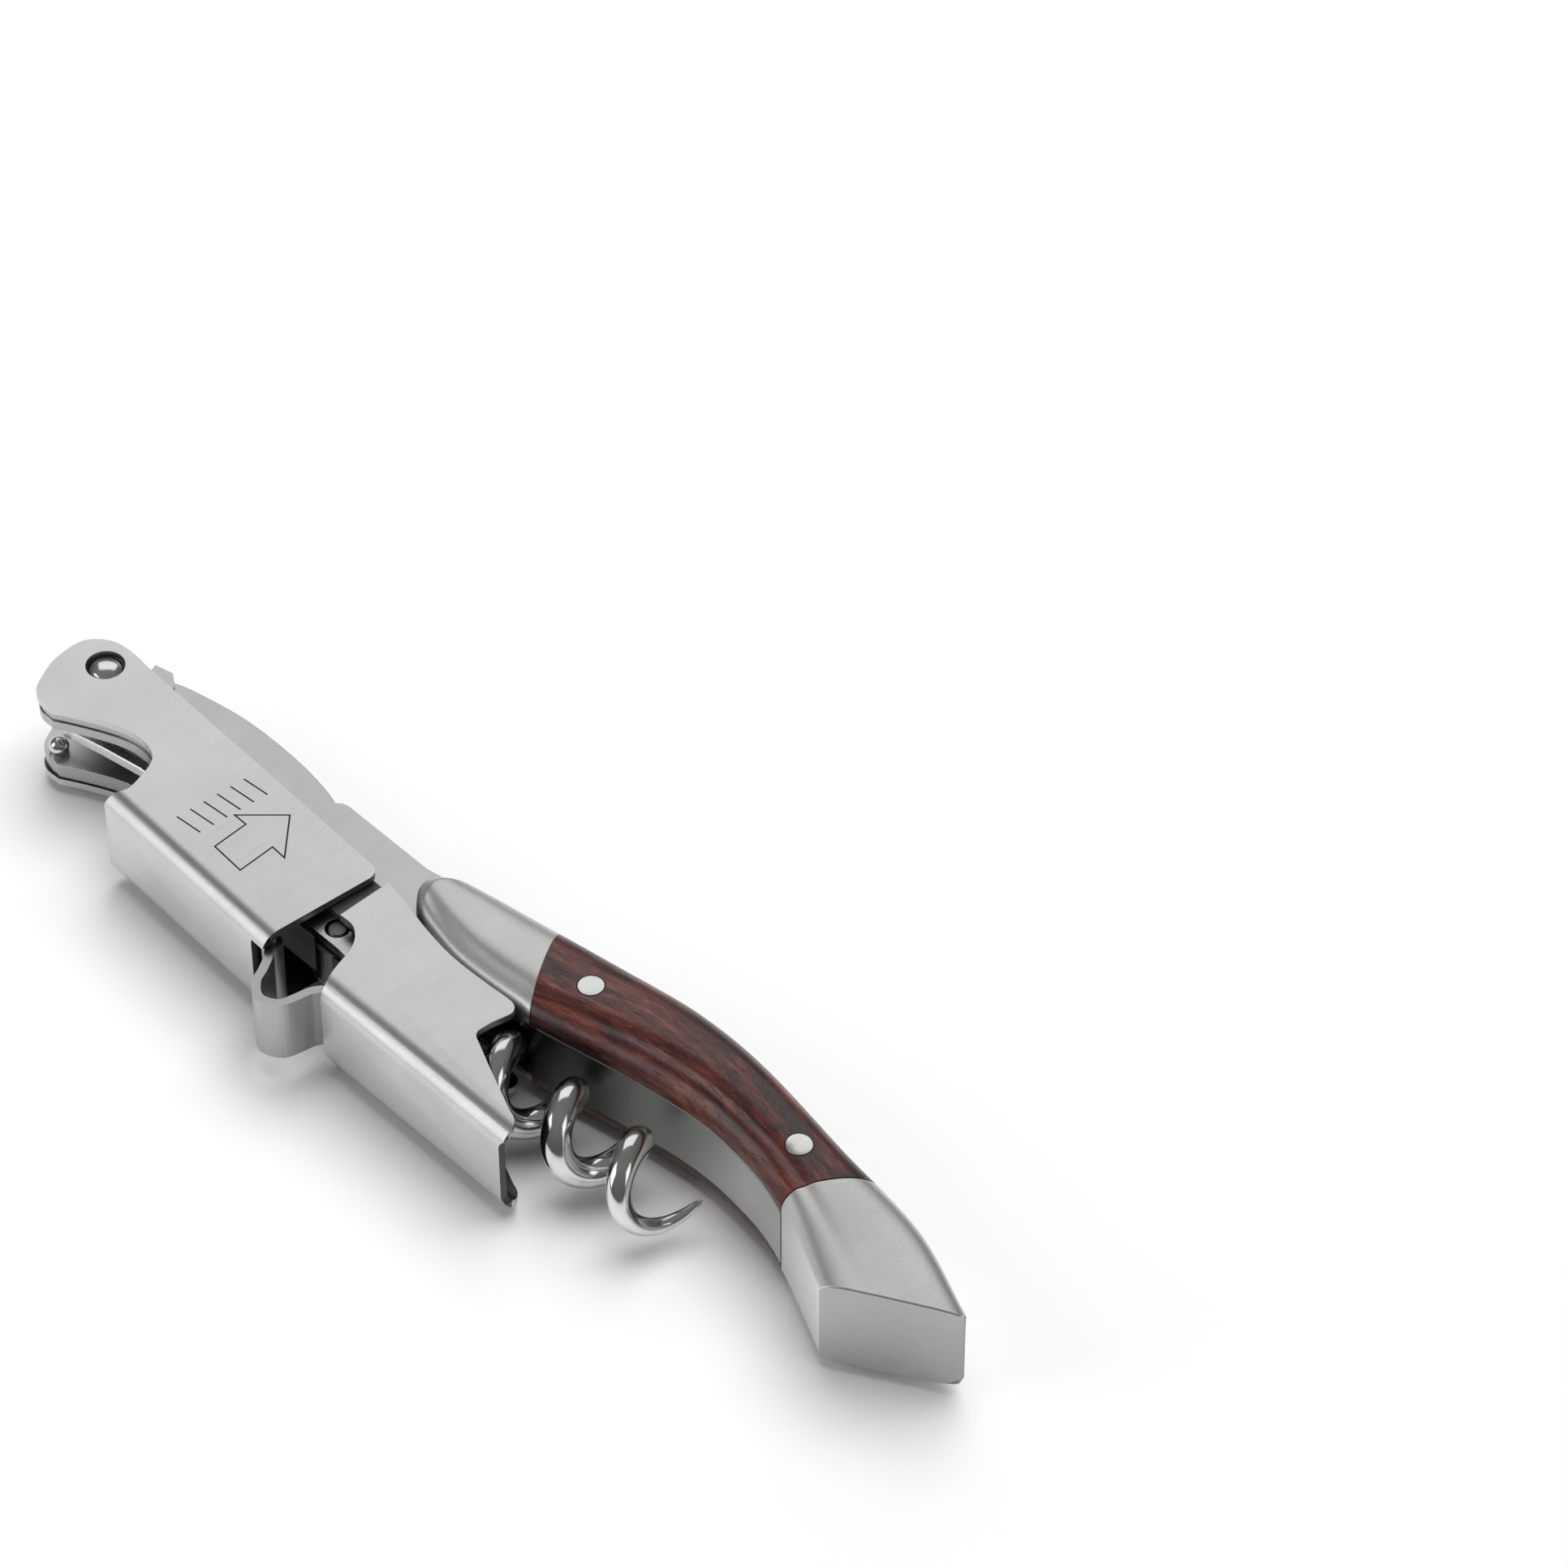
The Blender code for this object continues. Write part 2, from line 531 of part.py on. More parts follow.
# ---- frame: pins --------------------------------------------------------------------------
head_profile = [(0, LEVER_OUT), (0.75, LEVER_OUT - 0.07), (1.3, LEVER_OUT - 0.24),
                (1.62, LEVER_OUT - 0.45), (HEAD_SHOULDER_R, LEVER_OUT - 0.7),
                (HEAD_SHOULDER_R, LINER_OUT + FIT), (HEAD_SHANK_R, LINER_OUT + FIT)]
turned_piece("head_rivet", HEAD_RIVET, head_profile + [(r, -z) for r, z in head_profile[::-1]],
             FRAME, POLISHED)
round_pin("worm_pin", WORM_PIVOT, WORM_PIN_R, LINER_OUT - 0.05, FRAME, POLISHED)
STUD_AT = (-0.4 * S, -6.35 * S)
STUD_R = 1.05
STUD_COLLAR = 0.55
dome_z = STUD_COLLAR - LINER_IN
turned_piece("cap_lifter_stud", STUD_AT,
             [(0, dome_z + STUD_R)]
             + [(STUD_R * math.cos(a), dome_z + STUD_R * math.sin(a)) for a in (1.2, 0.8, 0.4, 0.0)]
             + [(STUD_R, FIT - LINER_IN), (0, FIT - LINER_IN)], FRAME, POLISHED)
TANG_R = 2.6
for side, tag in ((1, "top"), (-1, "bottom")):
    low, high = sorted((side * (KNIFE_THICKNESS / 2 + FIT), side * INNER_HALF))
    washer(f"knife_washer_{tag}", HEAD_RIVET, TANG_R, HEAD_SHANK_R + FIT, low, high, FRAME,
           SPRING_STEEL)


# ---- frame: crowned slabs (bolsters, scales, tail) ----------------------------------------
def crown(x, t):
    """Height share across a slab: steep at the edges, a crease near the belly, flat on top."""
    rise = (1 - abs(2 * t - 1)**curve(SQUARE_RUN, x))**0.6
    crease = math.exp(-((t - CREASE_AT) / CREASE_WIDTH)**2)
    edge = curve(EDGE_RUN, x)
    return edge + (1 - edge) * (rise - curve(CREASE_RUN, x) * crease)


def slab(start, end, top, base, rows=18, columns=18):
    """Closed slab between two slanted ends; start(t) and end(t) give X across the handle."""
    bm = bmesh.new()
    spread = [0.5 - 0.5 * math.cos(math.pi * c / columns) for c in range(columns + 1)]
    upper, lower = [], []
    for r in range(rows + 1):
        u = r / rows
        upper.append([])
        lower.append([])
        for t in spread:
            x = start(t) + (end(t) - start(t)) * u
            y = across(x, t)
            upper[-1].append(bm.verts.new((x, y, top(x, t, u))))
            lower[-1].append(bm.verts.new((x, y, base(x, t, u))))
    for r in range(rows):
        for c in range(columns):
            bm.faces.new((upper[r][c], upper[r + 1][c], upper[r + 1][c + 1], upper[r][c + 1]))
            bm.faces.new((lower[r][c], lower[r][c + 1], lower[r + 1][c + 1], lower[r + 1][c]))
        bm.faces.new((upper[r][0], lower[r][0], lower[r + 1][0], upper[r + 1][0]))
        bm.faces.new((upper[r][-1], upper[r + 1][-1], lower[r + 1][-1], lower[r][-1]))
    for c in range(columns):
        bm.faces.new((upper[0][c], upper[0][c + 1], lower[0][c + 1], lower[0][c]))
        bm.faces.new((upper[-1][c], lower[-1][c], lower[-1][c + 1], upper[-1][c + 1]))
    return bm


def surface(x, t):
    half = HANDLE_THICKNESS / 2 * curve(THICKNESS_RUN, x)
    return SLAB_BASE + (half - SLAB_BASE) * crown(x, t)


def flipped(bm):
    bmesh.ops.scale(bm, vec=(1, 1, -1), verts=bm.verts)
    return bm


def bolster_start(t):
    """Rounded front of the front bolster."""
    return (43.5 + 2.6 * abs(2 * t - 1)**2.6) * S


def bolster_top(x, t, u):
    """The bolster's nose rolls down at its front end."""
    nose = min(1.0, 0.45 + 2.4 * u**0.6)
    return SLAB_BASE + (surface(x, t) - SLAB_BASE) * nose


def flat_base(x, t, u):
    return SLAB_BASE


for side, tag in ((1, "top"), (-1, "bottom")):
    turn = (lambda bm: bm) if side > 0 else flipped
    new_object(f"front_bolster_{tag}",
               turn(slab(bolster_start, lambda t: scale_end(t) - FIT, bolster_top, flat_base)),
               FRAME, SATIN, 50)
    scale = new_object(f"scale_{tag}",
                       turn(slab(scale_end, lambda t: tail_start(t) - FIT,
                                 lambda x, t, u: surface(x, t), flat_base, rows=20)),
                       FRAME, ROSEWOOD, 50)
    with_holes(scale, [(p, SCALE_RIVET_R + HANDLE_BORE) for p in SCALE_RIVETS.values()],
               f"scale_{tag}_hole")

new_object("tail_cap", slab(tail_start, tail_end, lambda x, t, u: surface(x, t),
                            lambda x, t, u: -surface(x, t), rows=12), FRAME, SATIN, 30)

for tag, (x, y) in SCALE_RIVETS.items():
    low, high = edge_y(BELLY_EDGE, x), edge_y(BACK_EDGE, x)
    round_pin(f"scale_rivet_{tag}", (x, y), SCALE_RIVET_R, surface(x, (y - low) / (high - low)),
              FRAME, POLISHED, 0.08)


# ---- worm ---------------------------------------------------------------------------------
SHANK_START = WORM_PIVOT[0] + 2.8
COIL_START = WORM_PIVOT[0] + 7.5
WORM_TIP = WORM_PIVOT[0] + WORM_LENGTH
FRONT_CROSSING = WORM_TIP - 12.2     # where a turn passes the belly side
STEPS_PER_TURN = 20
TAPER = 6.5


def worm_points():
    """Wire centre line and radius: a straight shank that opens into a right-handed coil."""
    out = [((SHANK_START, 0.0, 0.0), WIRE_R), ((SHANK_START + 2.2, 0.0, 0.0), WIRE_R)]
    count = round((WORM_TIP - COIL_START) / WORM_PITCH * STEPS_PER_TURN)
    for k in range(count + 1):
        x = COIL_START + (WORM_TIP - COIL_START) * k / count
        angle = math.pi + 2 * math.pi * (x - FRONT_CROSSING) / WORM_PITCH
        opened = min(1.0, (x - COIL_START) / (0.8 * WORM_PITCH))
        radius = COIL_R * opened * opened * (3 - 2 * opened)
        tip = min(1.0, (WORM_TIP - x) / TAPER)
        wire = WIRE_R * (0.12 + 0.88 * tip**0.5)
        centre = COIL_R + (WIRE_R - wire) * 0.9 if tip < 1 else radius
        out.append(((x, centre * math.cos(angle), centre * math.sin(angle)), wire))
    return out


def tube(points, sides=12):
    """Round wire through 3-D points, each with its own radius, closed at both ends."""
    bm = bmesh.new()
    spots = [Vector(p) for p, _ in points]
    normal = Vector((0, 0, 1))
    rings = []
    for i, (spot, (_, radius)) in enumerate(zip(spots, points)):
        along = (spots[min(i + 1, len(spots) - 1)] - spots[max(i - 1, 0)]).normalized()
        normal = (normal - along * normal.dot(along)).normalized()
        other = along.cross(normal)
        ring = []
        for k in range(sides):
            a = 2 * math.pi * k / sides
            ring.append(bm.verts.new(spot + (normal * math.cos(a) + other * math.sin(a)) * radius))
        rings.append(ring)
    for a, b in zip(rings, rings[1:]):
        for k in range(sides):
            j = (k + 1) % sides
            bm.faces.new((a[k], a[j], b[j], b[k]))
    bm.faces.new(rings[0][::-1])
    bm.faces.new(rings[-1])
    return bm


def leaning(bm):
    """Turn the worm's parts about its axle to its resting lean."""
    bmesh.ops.rotate(bm, verts=bm.verts, cent=(*WORM_PIVOT, 0.0), matrix=Matrix.Rotation(WORM_TILT, 3, "Z"))
    return bm


coil = tube([((x, y + WORM_PIVOT[1], z), r) for (x, y, z), r in worm_points()])
new_object("worm", leaning(coil), WORM, WORM_STEEL, 80)

hub = new_object("worm_hub", cylinder(WORM_PIVOT, HUB_R, -INNER_HALF, INNER_HALF), WORM, WORM_STEEL)
SOCKET_R = WIRE_R + 0.15
NECK_HALF = (SOCKET_R + INNER_HALF) / 2
neck_end = WORM_PIVOT[0] + 4.9
neck = [(WORM_PIVOT[0], WORM_PIVOT[1] - NECK_HALF), (neck_end, WORM_PIVOT[1] - NECK_HALF),
        (neck_end, WORM_PIVOT[1] + NECK_HALF), (WORM_PIVOT[0], WORM_PIVOT[1] + NECK_HALF)]
cut(hub, leaning(prism(neck, -NECK_HALF, NECK_HALF)), "guide_hub_neck", "UNION")
cut(hub, cylinder(WORM_PIVOT, WORM_PIN_R + RUNNING, -THROUGH, THROUGH), "guide_hub_bore")
socket = cylinder((0, 0), SOCKET_R, WORM_PIVOT[0] + 2.5, WORM_PIVOT[0] + 6.5)
QUARTER_TURN = Matrix.Rotation(math.pi / 2, 3, "Y")
bmesh.ops.rotate(socket, verts=socket.verts, cent=(0, 0, 0), matrix=QUARTER_TURN)
bmesh.ops.translate(socket, verts=socket.verts, vec=(0, WORM_PIVOT[1], 0))
cut(hub, leaning(socket), "guide_hub_socket")

# ---- foil knife ---------------------------------------------------------------------------
blade_plan = scaled(smooth_path([(1.5, 4.6), (2.9, 5.9), (5.3, 6.7), (11.3, 7.8), (17.4, 8.0),
                                 (22.9, 7.6), (27.3, 6.6), (31.0, 4.4)], 4)
                    + smooth_path([(28.5, 2.6), (20.0, 1.5), (9.0, 1.1)], 3))
tang = arc(HEAD_RIVET, TANG_R, 20, -260, 20)
blade = plate("foil_knife", blade_plan + tang, -KNIFE_THICKNESS / 2, KNIFE_THICKNESS / 2, KNIFE,
              BLADE_STEEL)
with_holes(blade, [(HEAD_RIVET, HEAD_SHANK_R + RUNNING)], "knife_bore")


# ---- stand the assembly on the floor, centred ---------------------------------------------
def piece_bounds():
    depsgraph = bpy.context.evaluated_depsgraph_get()
    low = Vector((1e9, 1e9, 1e9))
    high = -low
    for obj in bpy.data.objects:
        if obj.type != "MESH" or obj.hide_render:
            continue
        seen = obj.evaluated_get(depsgraph)
        for v in seen.data.vertices:
            spot = seen.matrix_world @ v.co
            low = Vector(map(min, low, spot))
            high = Vector(map(max, high, spot))
    return low, high


bpy.context.view_layer.update()
lowest, highest = piece_bounds()
FRAME.location = (-(lowest.x + highest.x) / 2, -(lowest.y + highest.y) / 2, -lowest.z)
bpy.context.view_layer.update()
for joint in (LEVER, STEP, WORM, KNIFE):
    print(joint.name, [round(c, 6) for c in joint.matrix_world.translation])
print("size", [round(c * 1000, 2) for c in highest - lowest])
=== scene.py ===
"""Looks of the waiter's corkscrew: fine surfaces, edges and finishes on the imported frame.

Plan sizes below are in millimetres from the head rivet's axis at mid thickness, with X towards the
tail, +Y the back of the handle and Z up through its thickness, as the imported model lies.
"""
import math

import bmesh
import bpy
from mathutils import Matrix, Vector


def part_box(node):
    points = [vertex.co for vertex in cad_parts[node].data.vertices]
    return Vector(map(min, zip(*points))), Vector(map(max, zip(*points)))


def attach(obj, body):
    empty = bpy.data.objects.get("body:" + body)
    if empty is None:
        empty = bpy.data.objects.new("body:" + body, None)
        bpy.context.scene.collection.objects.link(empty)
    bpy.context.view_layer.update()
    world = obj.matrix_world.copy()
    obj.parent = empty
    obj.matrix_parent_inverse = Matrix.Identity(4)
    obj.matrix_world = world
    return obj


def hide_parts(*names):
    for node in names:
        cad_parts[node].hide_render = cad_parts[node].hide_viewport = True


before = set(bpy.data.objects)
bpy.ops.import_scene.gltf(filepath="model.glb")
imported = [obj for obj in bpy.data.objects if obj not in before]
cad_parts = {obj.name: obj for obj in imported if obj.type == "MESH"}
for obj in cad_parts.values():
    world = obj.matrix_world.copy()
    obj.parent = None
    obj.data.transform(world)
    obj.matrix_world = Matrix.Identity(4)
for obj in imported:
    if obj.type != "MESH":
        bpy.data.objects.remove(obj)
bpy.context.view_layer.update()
MM = 0.001

rivet_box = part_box("head_rivet")
AXIS = (Vector(rivet_box[0]) + Vector(rivet_box[1])) / 2      # head rivet's axis, mid thickness


def top_of(node):
    """Height of a node's highest point above mid thickness, mm."""
    return (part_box(node)[1][2] - AXIS.z) / MM


LEVER_OUT = top_of("lever_first_stage")
STAGE_OUT = top_of("lever_second_stage")
LINER_OUT = top_of("liner_top")
SHEET = 0.8
LEVER_IN = LEVER_OUT - SHEET
STAGE_IN = STAGE_OUT - SHEET


# ---- small maths --------------------------------------------------------------------------
def curve(stations, x):
    """Value at x of the smooth curve through the stations (Catmull-Rom in x)."""
    if x <= stations[0][0]:
        return stations[0][1]
    if x >= stations[-1][0]:
        return stations[-1][1]
    i = max(k for k in range(len(stations) - 1) if stations[k][0] <= x)
    (x0, y0), (x1, y1) = stations[i], stations[i + 1]
    before = stations[i - 1] if i > 0 else (2 * x0 - x1, 2 * y0 - y1)
    after = stations[i + 2] if i + 2 < len(stations) else (2 * x1 - x0, 2 * y1 - y0)
    slope0 = (y1 - before[1]) / (x1 - before[0])
    slope1 = (after[1] - y0) / (after[0] - x0)
    h = x1 - x0
    t = (x - x0) / h
    return ((2 * t**3 - 3 * t**2 + 1) * y0 + (t**3 - 2 * t**2 + t) * h * slope0
            + (3 * t**2 - 2 * t**3) * y1 + (t**3 - t**2) * h * slope1)


# ---- procedural finishes ------------------------------------------------------------------
class Finish:
    """Short hand for building one node material."""

    def __init__(self, name, roughness, metallic, **sockets):
        self.material = bpy.data.materials.new(name)
        self.material.use_nodes = True
        self.tree = self.material.node_tree
        self.shader = self.tree.nodes["Principled BSDF"]
        self.shader.inputs["Roughness"].default_value = roughness
        self.shader.inputs["Metallic"].default_value = metallic
        for socket, value in sockets.items():
            self.shader.inputs[socket.replace("_", " ")].default_value = value
        self.place = self.node("ShaderNodeTexCoord").outputs["Object"]

    def node(self, kind, **values):
        made = self.tree.nodes.new(kind)
        for key, value in values.items():
            setattr(made, key, value)
        return made

    def link(self, a, b):
        self.tree.links.new(a, b)

    def math(self, operation, a, b=0.0, clamp=False):
        made = self.node("ShaderNodeMath", operation=operation, use_clamp=clamp)
        for socket, value in zip(made.inputs, (a, b)):
            if isinstance(value, (int, float)):
                socket.default_value = value
            else:
                self.link(value, socket)
        return made.outputs[0]

    def noise(self, scale, detail=2.0, roughness=0.5, place=None, distortion=0.0):
        """Noise whose scale is given per axis in cycles per metre."""
        mapping = self.node("ShaderNodeMapping")
        mapping.inputs["Scale"].default_value = scale
        self.link(place or self.place, mapping.inputs["Vector"])
        made = self.node("ShaderNodeTexNoise")
        made.inputs["Scale"].default_value = 1.0
        made.inputs["Detail"].default_value = detail
        made.inputs["Roughness"].default_value = roughness
        made.inputs["Distortion"].default_value = distortion
        self.link(mapping.outputs["Vector"], made.inputs["Vector"])
        return made.outputs["Fac"]

    def span(self, value, low, high, to_low, to_high):
        made = self.node("ShaderNodeMapRange", clamp=True)
        for socket, number in zip(list(made.inputs)[1:5], (low, high, to_low, to_high)):
            socket.default_value = number
        self.link(value, made.inputs["Value"])
        return made.outputs["Result"]

    def mix(self, share, a, b):
        """Colour mix; a and b are colours or sockets."""
        made = self.node("ShaderNodeMix", data_type="RGBA")
        if isinstance(share, (int, float)):
            made.inputs["Factor"].default_value = share
        else:
            self.link(share, made.inputs["Factor"])
        for socket, value in ((made.inputs[6], a), (made.inputs[7], b)):
            if isinstance(value, tuple):
                socket.default_value = (*value, 1.0)
            else:
                self.link(value, socket)
        return made.outputs[2]

    def colour(self, value):
        self.link(value, self.shader.inputs["Base Color"])

    def rough(self, value):
        self.link(value, self.shader.inputs["Roughness"])

    def swing(self, value, amount, low=0.3, high=0.7):
        """Noise turned into a change that runs from -amount to +amount."""
        return self.span(value, low, high, -amount, amount)

    def bump(self, height, distance):
        made = self.node("ShaderNodeBump")
        made.inputs["Distance"].default_value = distance
        made.inputs["Strength"].default_value = 1.0
        self.link(height, made.inputs["Height"])
        self.link(made.outputs["Normal"], self.shader.inputs["Normal"])


BRUSHED_DEPTH = 0.8e-6                         # bump heights in metres
POLISHED_DEPTH = 4.0e-7
WARMTH = 0.99                                  # blue's share of a steel's grey


def grey(level):
    return (level, level, level * WARMTH)


def shades(level, darkest=0.55, lightest=1.45):
    """Darkest and lightest grey of a metal, as shares of its mean level."""
    return grey(level * darkest), grey(min(1.0, level * lightest))


def stretched(across_lines, along_lines, along):
    """Noise scale that is long along one axis, given by its index."""
    scale = [across_lines] * 3
    scale[along] = along_lines
    return tuple(scale)


def brushed_steel(name, level, roughness, along, fine=0.10, speckle=0.0, cloud=0.04):
    """Steel brushed along one axis, given by its index."""
    f = Finish(name, roughness, 1.0)
    lines = f.noise(stretched(9000.0, 160.0, along), 3.0, 0.65)
    bands = f.noise(stretched(1800.0, 60.0, along), 2.0, 0.5)
    patches = f.noise((130.0, 130.0, 130.0), 2.0)
    grains = f.noise((6500.0, 6500.0, 6500.0), 1.0)
    shade = f.math("ADD", f.swing(lines, fine), f.swing(bands, fine / 3))
    shade = f.math("ADD", shade, f.swing(patches, cloud))
    shade = f.math("ADD", shade, f.swing(grains, speckle, 0.35, 0.65))
    f.colour(f.mix(f.math("ADD", shade, 0.5, clamp=True), *shades(level)))
    f.rough(f.math("ADD", f.swing(lines, 0.05), roughness))
    height = f.math("ADD", lines, f.math("MULTIPLY", grains, 4.0 * speckle))
    f.bump(height, BRUSHED_DEPTH)
    return f.material


def blasted_steel(name, level, roughness, speckle=0.09, depth=3.5e-6):
    """Satin steel with a fine bead-blasted speckle."""
    f = Finish(name, roughness, 1.0)
    grains = f.noise((5200.0, 5200.0, 5200.0), 2.0, 0.6)
    patches = f.noise((160.0, 160.0, 160.0), 2.0)
    lines = f.noise((5000.0, 150.0, 5000.0), 2.0, 0.6)
    shade = f.math("ADD", f.swing(grains, speckle), f.swing(patches, 0.04))
    shade = f.math("ADD", shade, f.swing(lines, 0.04))
    f.colour(f.mix(f.math("ADD", shade, 0.5, clamp=True), *shades(level)))
    f.rough(f.span(grains, 0.3, 0.7, roughness - 0.05, roughness + 0.06))
    f.bump(f.math("ADD", grains, f.math("MULTIPLY", lines, 0.3)), depth)
    return f.material


def polished_steel(name, level, roughness, scuff=0.03):
    """Bright steel with faint scuffs and hairlines."""
    f = Finish(name, roughness, 1.0)
    hair = f.noise((300.0, 5200.0, 5200.0), 3.0, 0.7)
    clouds = f.noise((420.0, 420.0, 420.0), 3.0, 0.6)
    f.colour(f.mix(f.span(clouds, 0.3, 0.75, 0.0, 1.0), *shades(level, 0.9, 1.1)))
    f.rough(f.math("ADD", f.span(hair, 0.45, 0.75, 0.0, scuff),
                   f.span(clouds, 0.4, 0.8, roughness, roughness + scuff)))
    f.bump(hair, POLISHED_DEPTH)
    return f.material


def rosewood(name):
    """Oiled rosewood: dark figure that follows the handle's curve, orange flecks, open pores."""
    f = Finish(name, 0.36, 0.0, Coat_Weight=0.25, Coat_Roughness=0.22, Specular_IOR_Level=0.55)
    apart = f.node("ShaderNodeSeparateXYZ")
    f.link(f.place, apart.inputs[0])
    from_crown = f.math("SUBTRACT", apart.outputs["X"], AXIS.x + 82.0 * MM)
    hump = f.math("MULTIPLY", f.math("MULTIPLY", from_crown, from_crown), 5.2)
    wander = f.span(f.noise((55.0, 55.0, 55.0), 1.0), 0.0, 1.0, -1.6 * MM, 1.6 * MM)
    across = f.math("ADD", f.math("ADD", apart.outputs["Y"], hump), wander)
    joined = f.node("ShaderNodeCombineXYZ")
    f.link(apart.outputs["X"], joined.inputs["X"])
    f.link(across, joined.inputs["Y"])
    f.link(apart.outputs["Z"], joined.inputs["Z"])
    grain = joined.outputs[0]
    figure = f.noise((60.0, 400.0, 300.0), 3.0, 0.6, grain, 0.9)
    streaks = f.noise((260.0, 2300.0, 1800.0), 4.0, 0.7, grain, 0.7)
    flecks = f.noise((950.0, 4200.0, 3400.0), 3.0, 0.7, grain, 0.8)
    pores = f.noise((800.0, 6800.0, 5600.0), 2.0, 0.6, grain)
    ramp = f.node("ShaderNodeValToRGB")
    stops = ((0.22, (0.008, 0.0024, 0.0032)), (0.40, (0.030, 0.0055, 0.0055)),
             (0.53, (0.072, 0.0135, 0.010)), (0.66, (0.120, 0.027, 0.016)),
             (0.80, (0.185, 0.056, 0.032)))
    while len(ramp.color_ramp.elements) < len(stops):
        ramp.color_ramp.elements.new(0.5)
    for element, (place, shade) in zip(ramp.color_ramp.elements, stops):
        element.position = place
        element.color = (*shade, 1.0)
    blend = f.math("ADD", f.math("MULTIPLY", figure, 0.62), f.math("MULTIPLY", streaks, 0.38))
    f.link(f.span(blend, 0.34, 0.68, 0.12, 0.86), ramp.inputs["Fac"])
    flecked = f.mix(f.span(flecks, 0.58, 0.72, 0.0, 0.5), ramp.outputs["Color"],
                    (0.27, 0.080, 0.032))
    hole = f.span(pores, 0.63, 0.69, 0.0, 1.0)
    f.colour(f.mix(f.math("MULTIPLY", hole, 0.75), flecked, (0.012, 0.004, 0.004)))
    f.rough(f.math("ADD", f.span(streaks, 0.3, 0.7, 0.40, 0.30), f.math("MULTIPLY", hole, 0.3)))
    height = f.math("SUBTRACT", f.math("MULTIPLY", streaks, 0.5), f.math("MULTIPLY", hole, 1.0))
    f.bump(height, 1.1e-5)
    return f.material


LEVER_FLAT = brushed_steel("lever_steel_brushed", 0.62, 0.32, along=1, fine=0.035, speckle=0.01)
LEVER_BACK = blasted_steel("lever_steel_satin", 0.62, 0.36, speckle=0.05, depth=2.0e-6)
# Painted shade: a near-black copy of the lever steel for the insides of the channels, which lie in
# shade.
LEVER_INSIDE_SHADE = brushed_steel("lever_steel_inside_painted_shade", 0.12, 0.45, along=1)
LINER_FLAT = brushed_steel("liner_steel_brushed", 0.52, 0.32, along=1, fine=0.05, speckle=0.01)
WALL_STEEL = brushed_steel("liner_steel_lengthwise", 0.42, 0.27, along=0, fine=0.08)
BLADE_FLAT = brushed_steel("blade_steel_brushed", 0.50, 0.30, along=1, fine=0.07)
STRIP_WALL = brushed_steel("strip_steel_brushed", 0.42, 0.33, along=2, fine=0.10)
BOLSTER = blasted_steel("bolster_steel_blasted", 0.86, 0.44)
TAIL_TOP = blasted_steel("tail_steel_satin", 0.88, 0.42, speckle=0.06)
TAIL_END = brushed_steel("tail_steel_end", 0.46, 0.38, along=0, fine=0.05, speckle=0.03)
BRIGHT = polished_steel("polished_steel_bright", 0.66, 0.14)
BAR_SATIN = brushed_steel("bar_steel_satin", 0.85, 0.28, along=0, fine=0.03)
WORM_BRIGHT = polished_steel("worm_steel_bright", 0.70, 0.13, 0.02)
RIVET_BRIGHT = brushed_steel("rivet_steel_satin", 0.80, 0.30, along=1, fine=0.02, cloud=0.02)
# Painted shade: near-black steel for the worm spring and the pins, washers and hub between the
# plates, which lie in shade.
INNER_SHADE_STEEL = brushed_steel("spring_steel_ground_painted_shade", 0.14, 0.36, along=2, fine=0.08)
WOOD = rosewood("rosewood_oiled")


def wall_steel(name):
    """Ground steel of the belly skin, with painted shade: it darkens towards the front by a
    gradient in
    X, which is a choice to match the photograph and not a property of the steel."""
    f = Finish(name, 0.34, 1.0)
    lines = f.noise((160.0, 9000.0, 9000.0), 3.0, 0.65)
    apart = f.node("ShaderNodeSeparateXYZ")
    f.link(f.place, apart.inputs[0])
    start, end = AXIS.x + 62.0 * MM, AXIS.x + 90.0 * MM
    # Painted shade along the belly: near black at the front, lighter towards the tail.
    painted_shade_share = f.span(apart.outputs["X"], start, end, 0.0, 0.9)
    f.colour(f.mix(f.math("ADD", painted_shade_share, f.swing(lines, 0.05), clamp=True),
                   grey(0.03), grey(0.62)))
    f.bump(lines, 0.5e-6)
    return f.material


def dark_steel(name):
    """Painted shade: near-black steel for the inside of a groove or gap, laid on flat ribbons and
    rings that have no depth.
    """
    f = Finish(name, 0.6, 0.4)
    f.colour(f.mix(f.noise((2500.0, 2500.0, 2500.0)), (0.012, 0.012, 0.012), (0.035, 0.034, 0.033)))
    return f.material


GROOVE_SHADE = dark_steel("groove_painted_shade")
BELLY_WALL_PAINTED_SHADE = wall_steel("belly_wall_ground_painted_shade")


# ---- turning geometry into pieces ---------------------------------------------------------
MERGE = 2e-6                                   # metres between corners that are one corner
FLAT_WITHIN = 0.6                              # degrees between facets of one flat face


def finish_piece(name, bm, body, slot, materials, replaces=(), smooth=35.0):
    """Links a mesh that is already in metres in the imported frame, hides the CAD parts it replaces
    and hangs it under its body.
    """
    mesh = bpy.data.meshes.new(name)
    bm.to_mesh(mesh)
    bm.free()
    for made in materials:
        mesh.materials.append(made)
    mesh.shade_smooth()
    mesh.set_sharp_from_angle(angle=math.radians(smooth))
    piece = bpy.data.objects.new(name, mesh)
    bpy.context.scene.collection.objects.link(piece)
    if replaces:
        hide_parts(*replaces)
    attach(piece, body)
    return piece


def to_frame(bm):
    """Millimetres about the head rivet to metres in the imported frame."""
    bmesh.ops.scale(bm, vec=(MM, MM, MM), verts=bm.verts)
    bmesh.ops.translate(bm, vec=AXIS, verts=bm.verts)
    return bm


def soften(piece, width, segments=3, angle=32.0):
    """Small rounded edges that catch the light."""
    edges = piece.modifiers.new("soft_edges", "BEVEL")
    edges.width = width * MM
    edges.segments = segments
    edges.limit_method = "ANGLE"
    edges.angle_limit = math.radians(angle)
    edges.use_clamp_overlap = True
    edges.harden_normals = True
    return piece


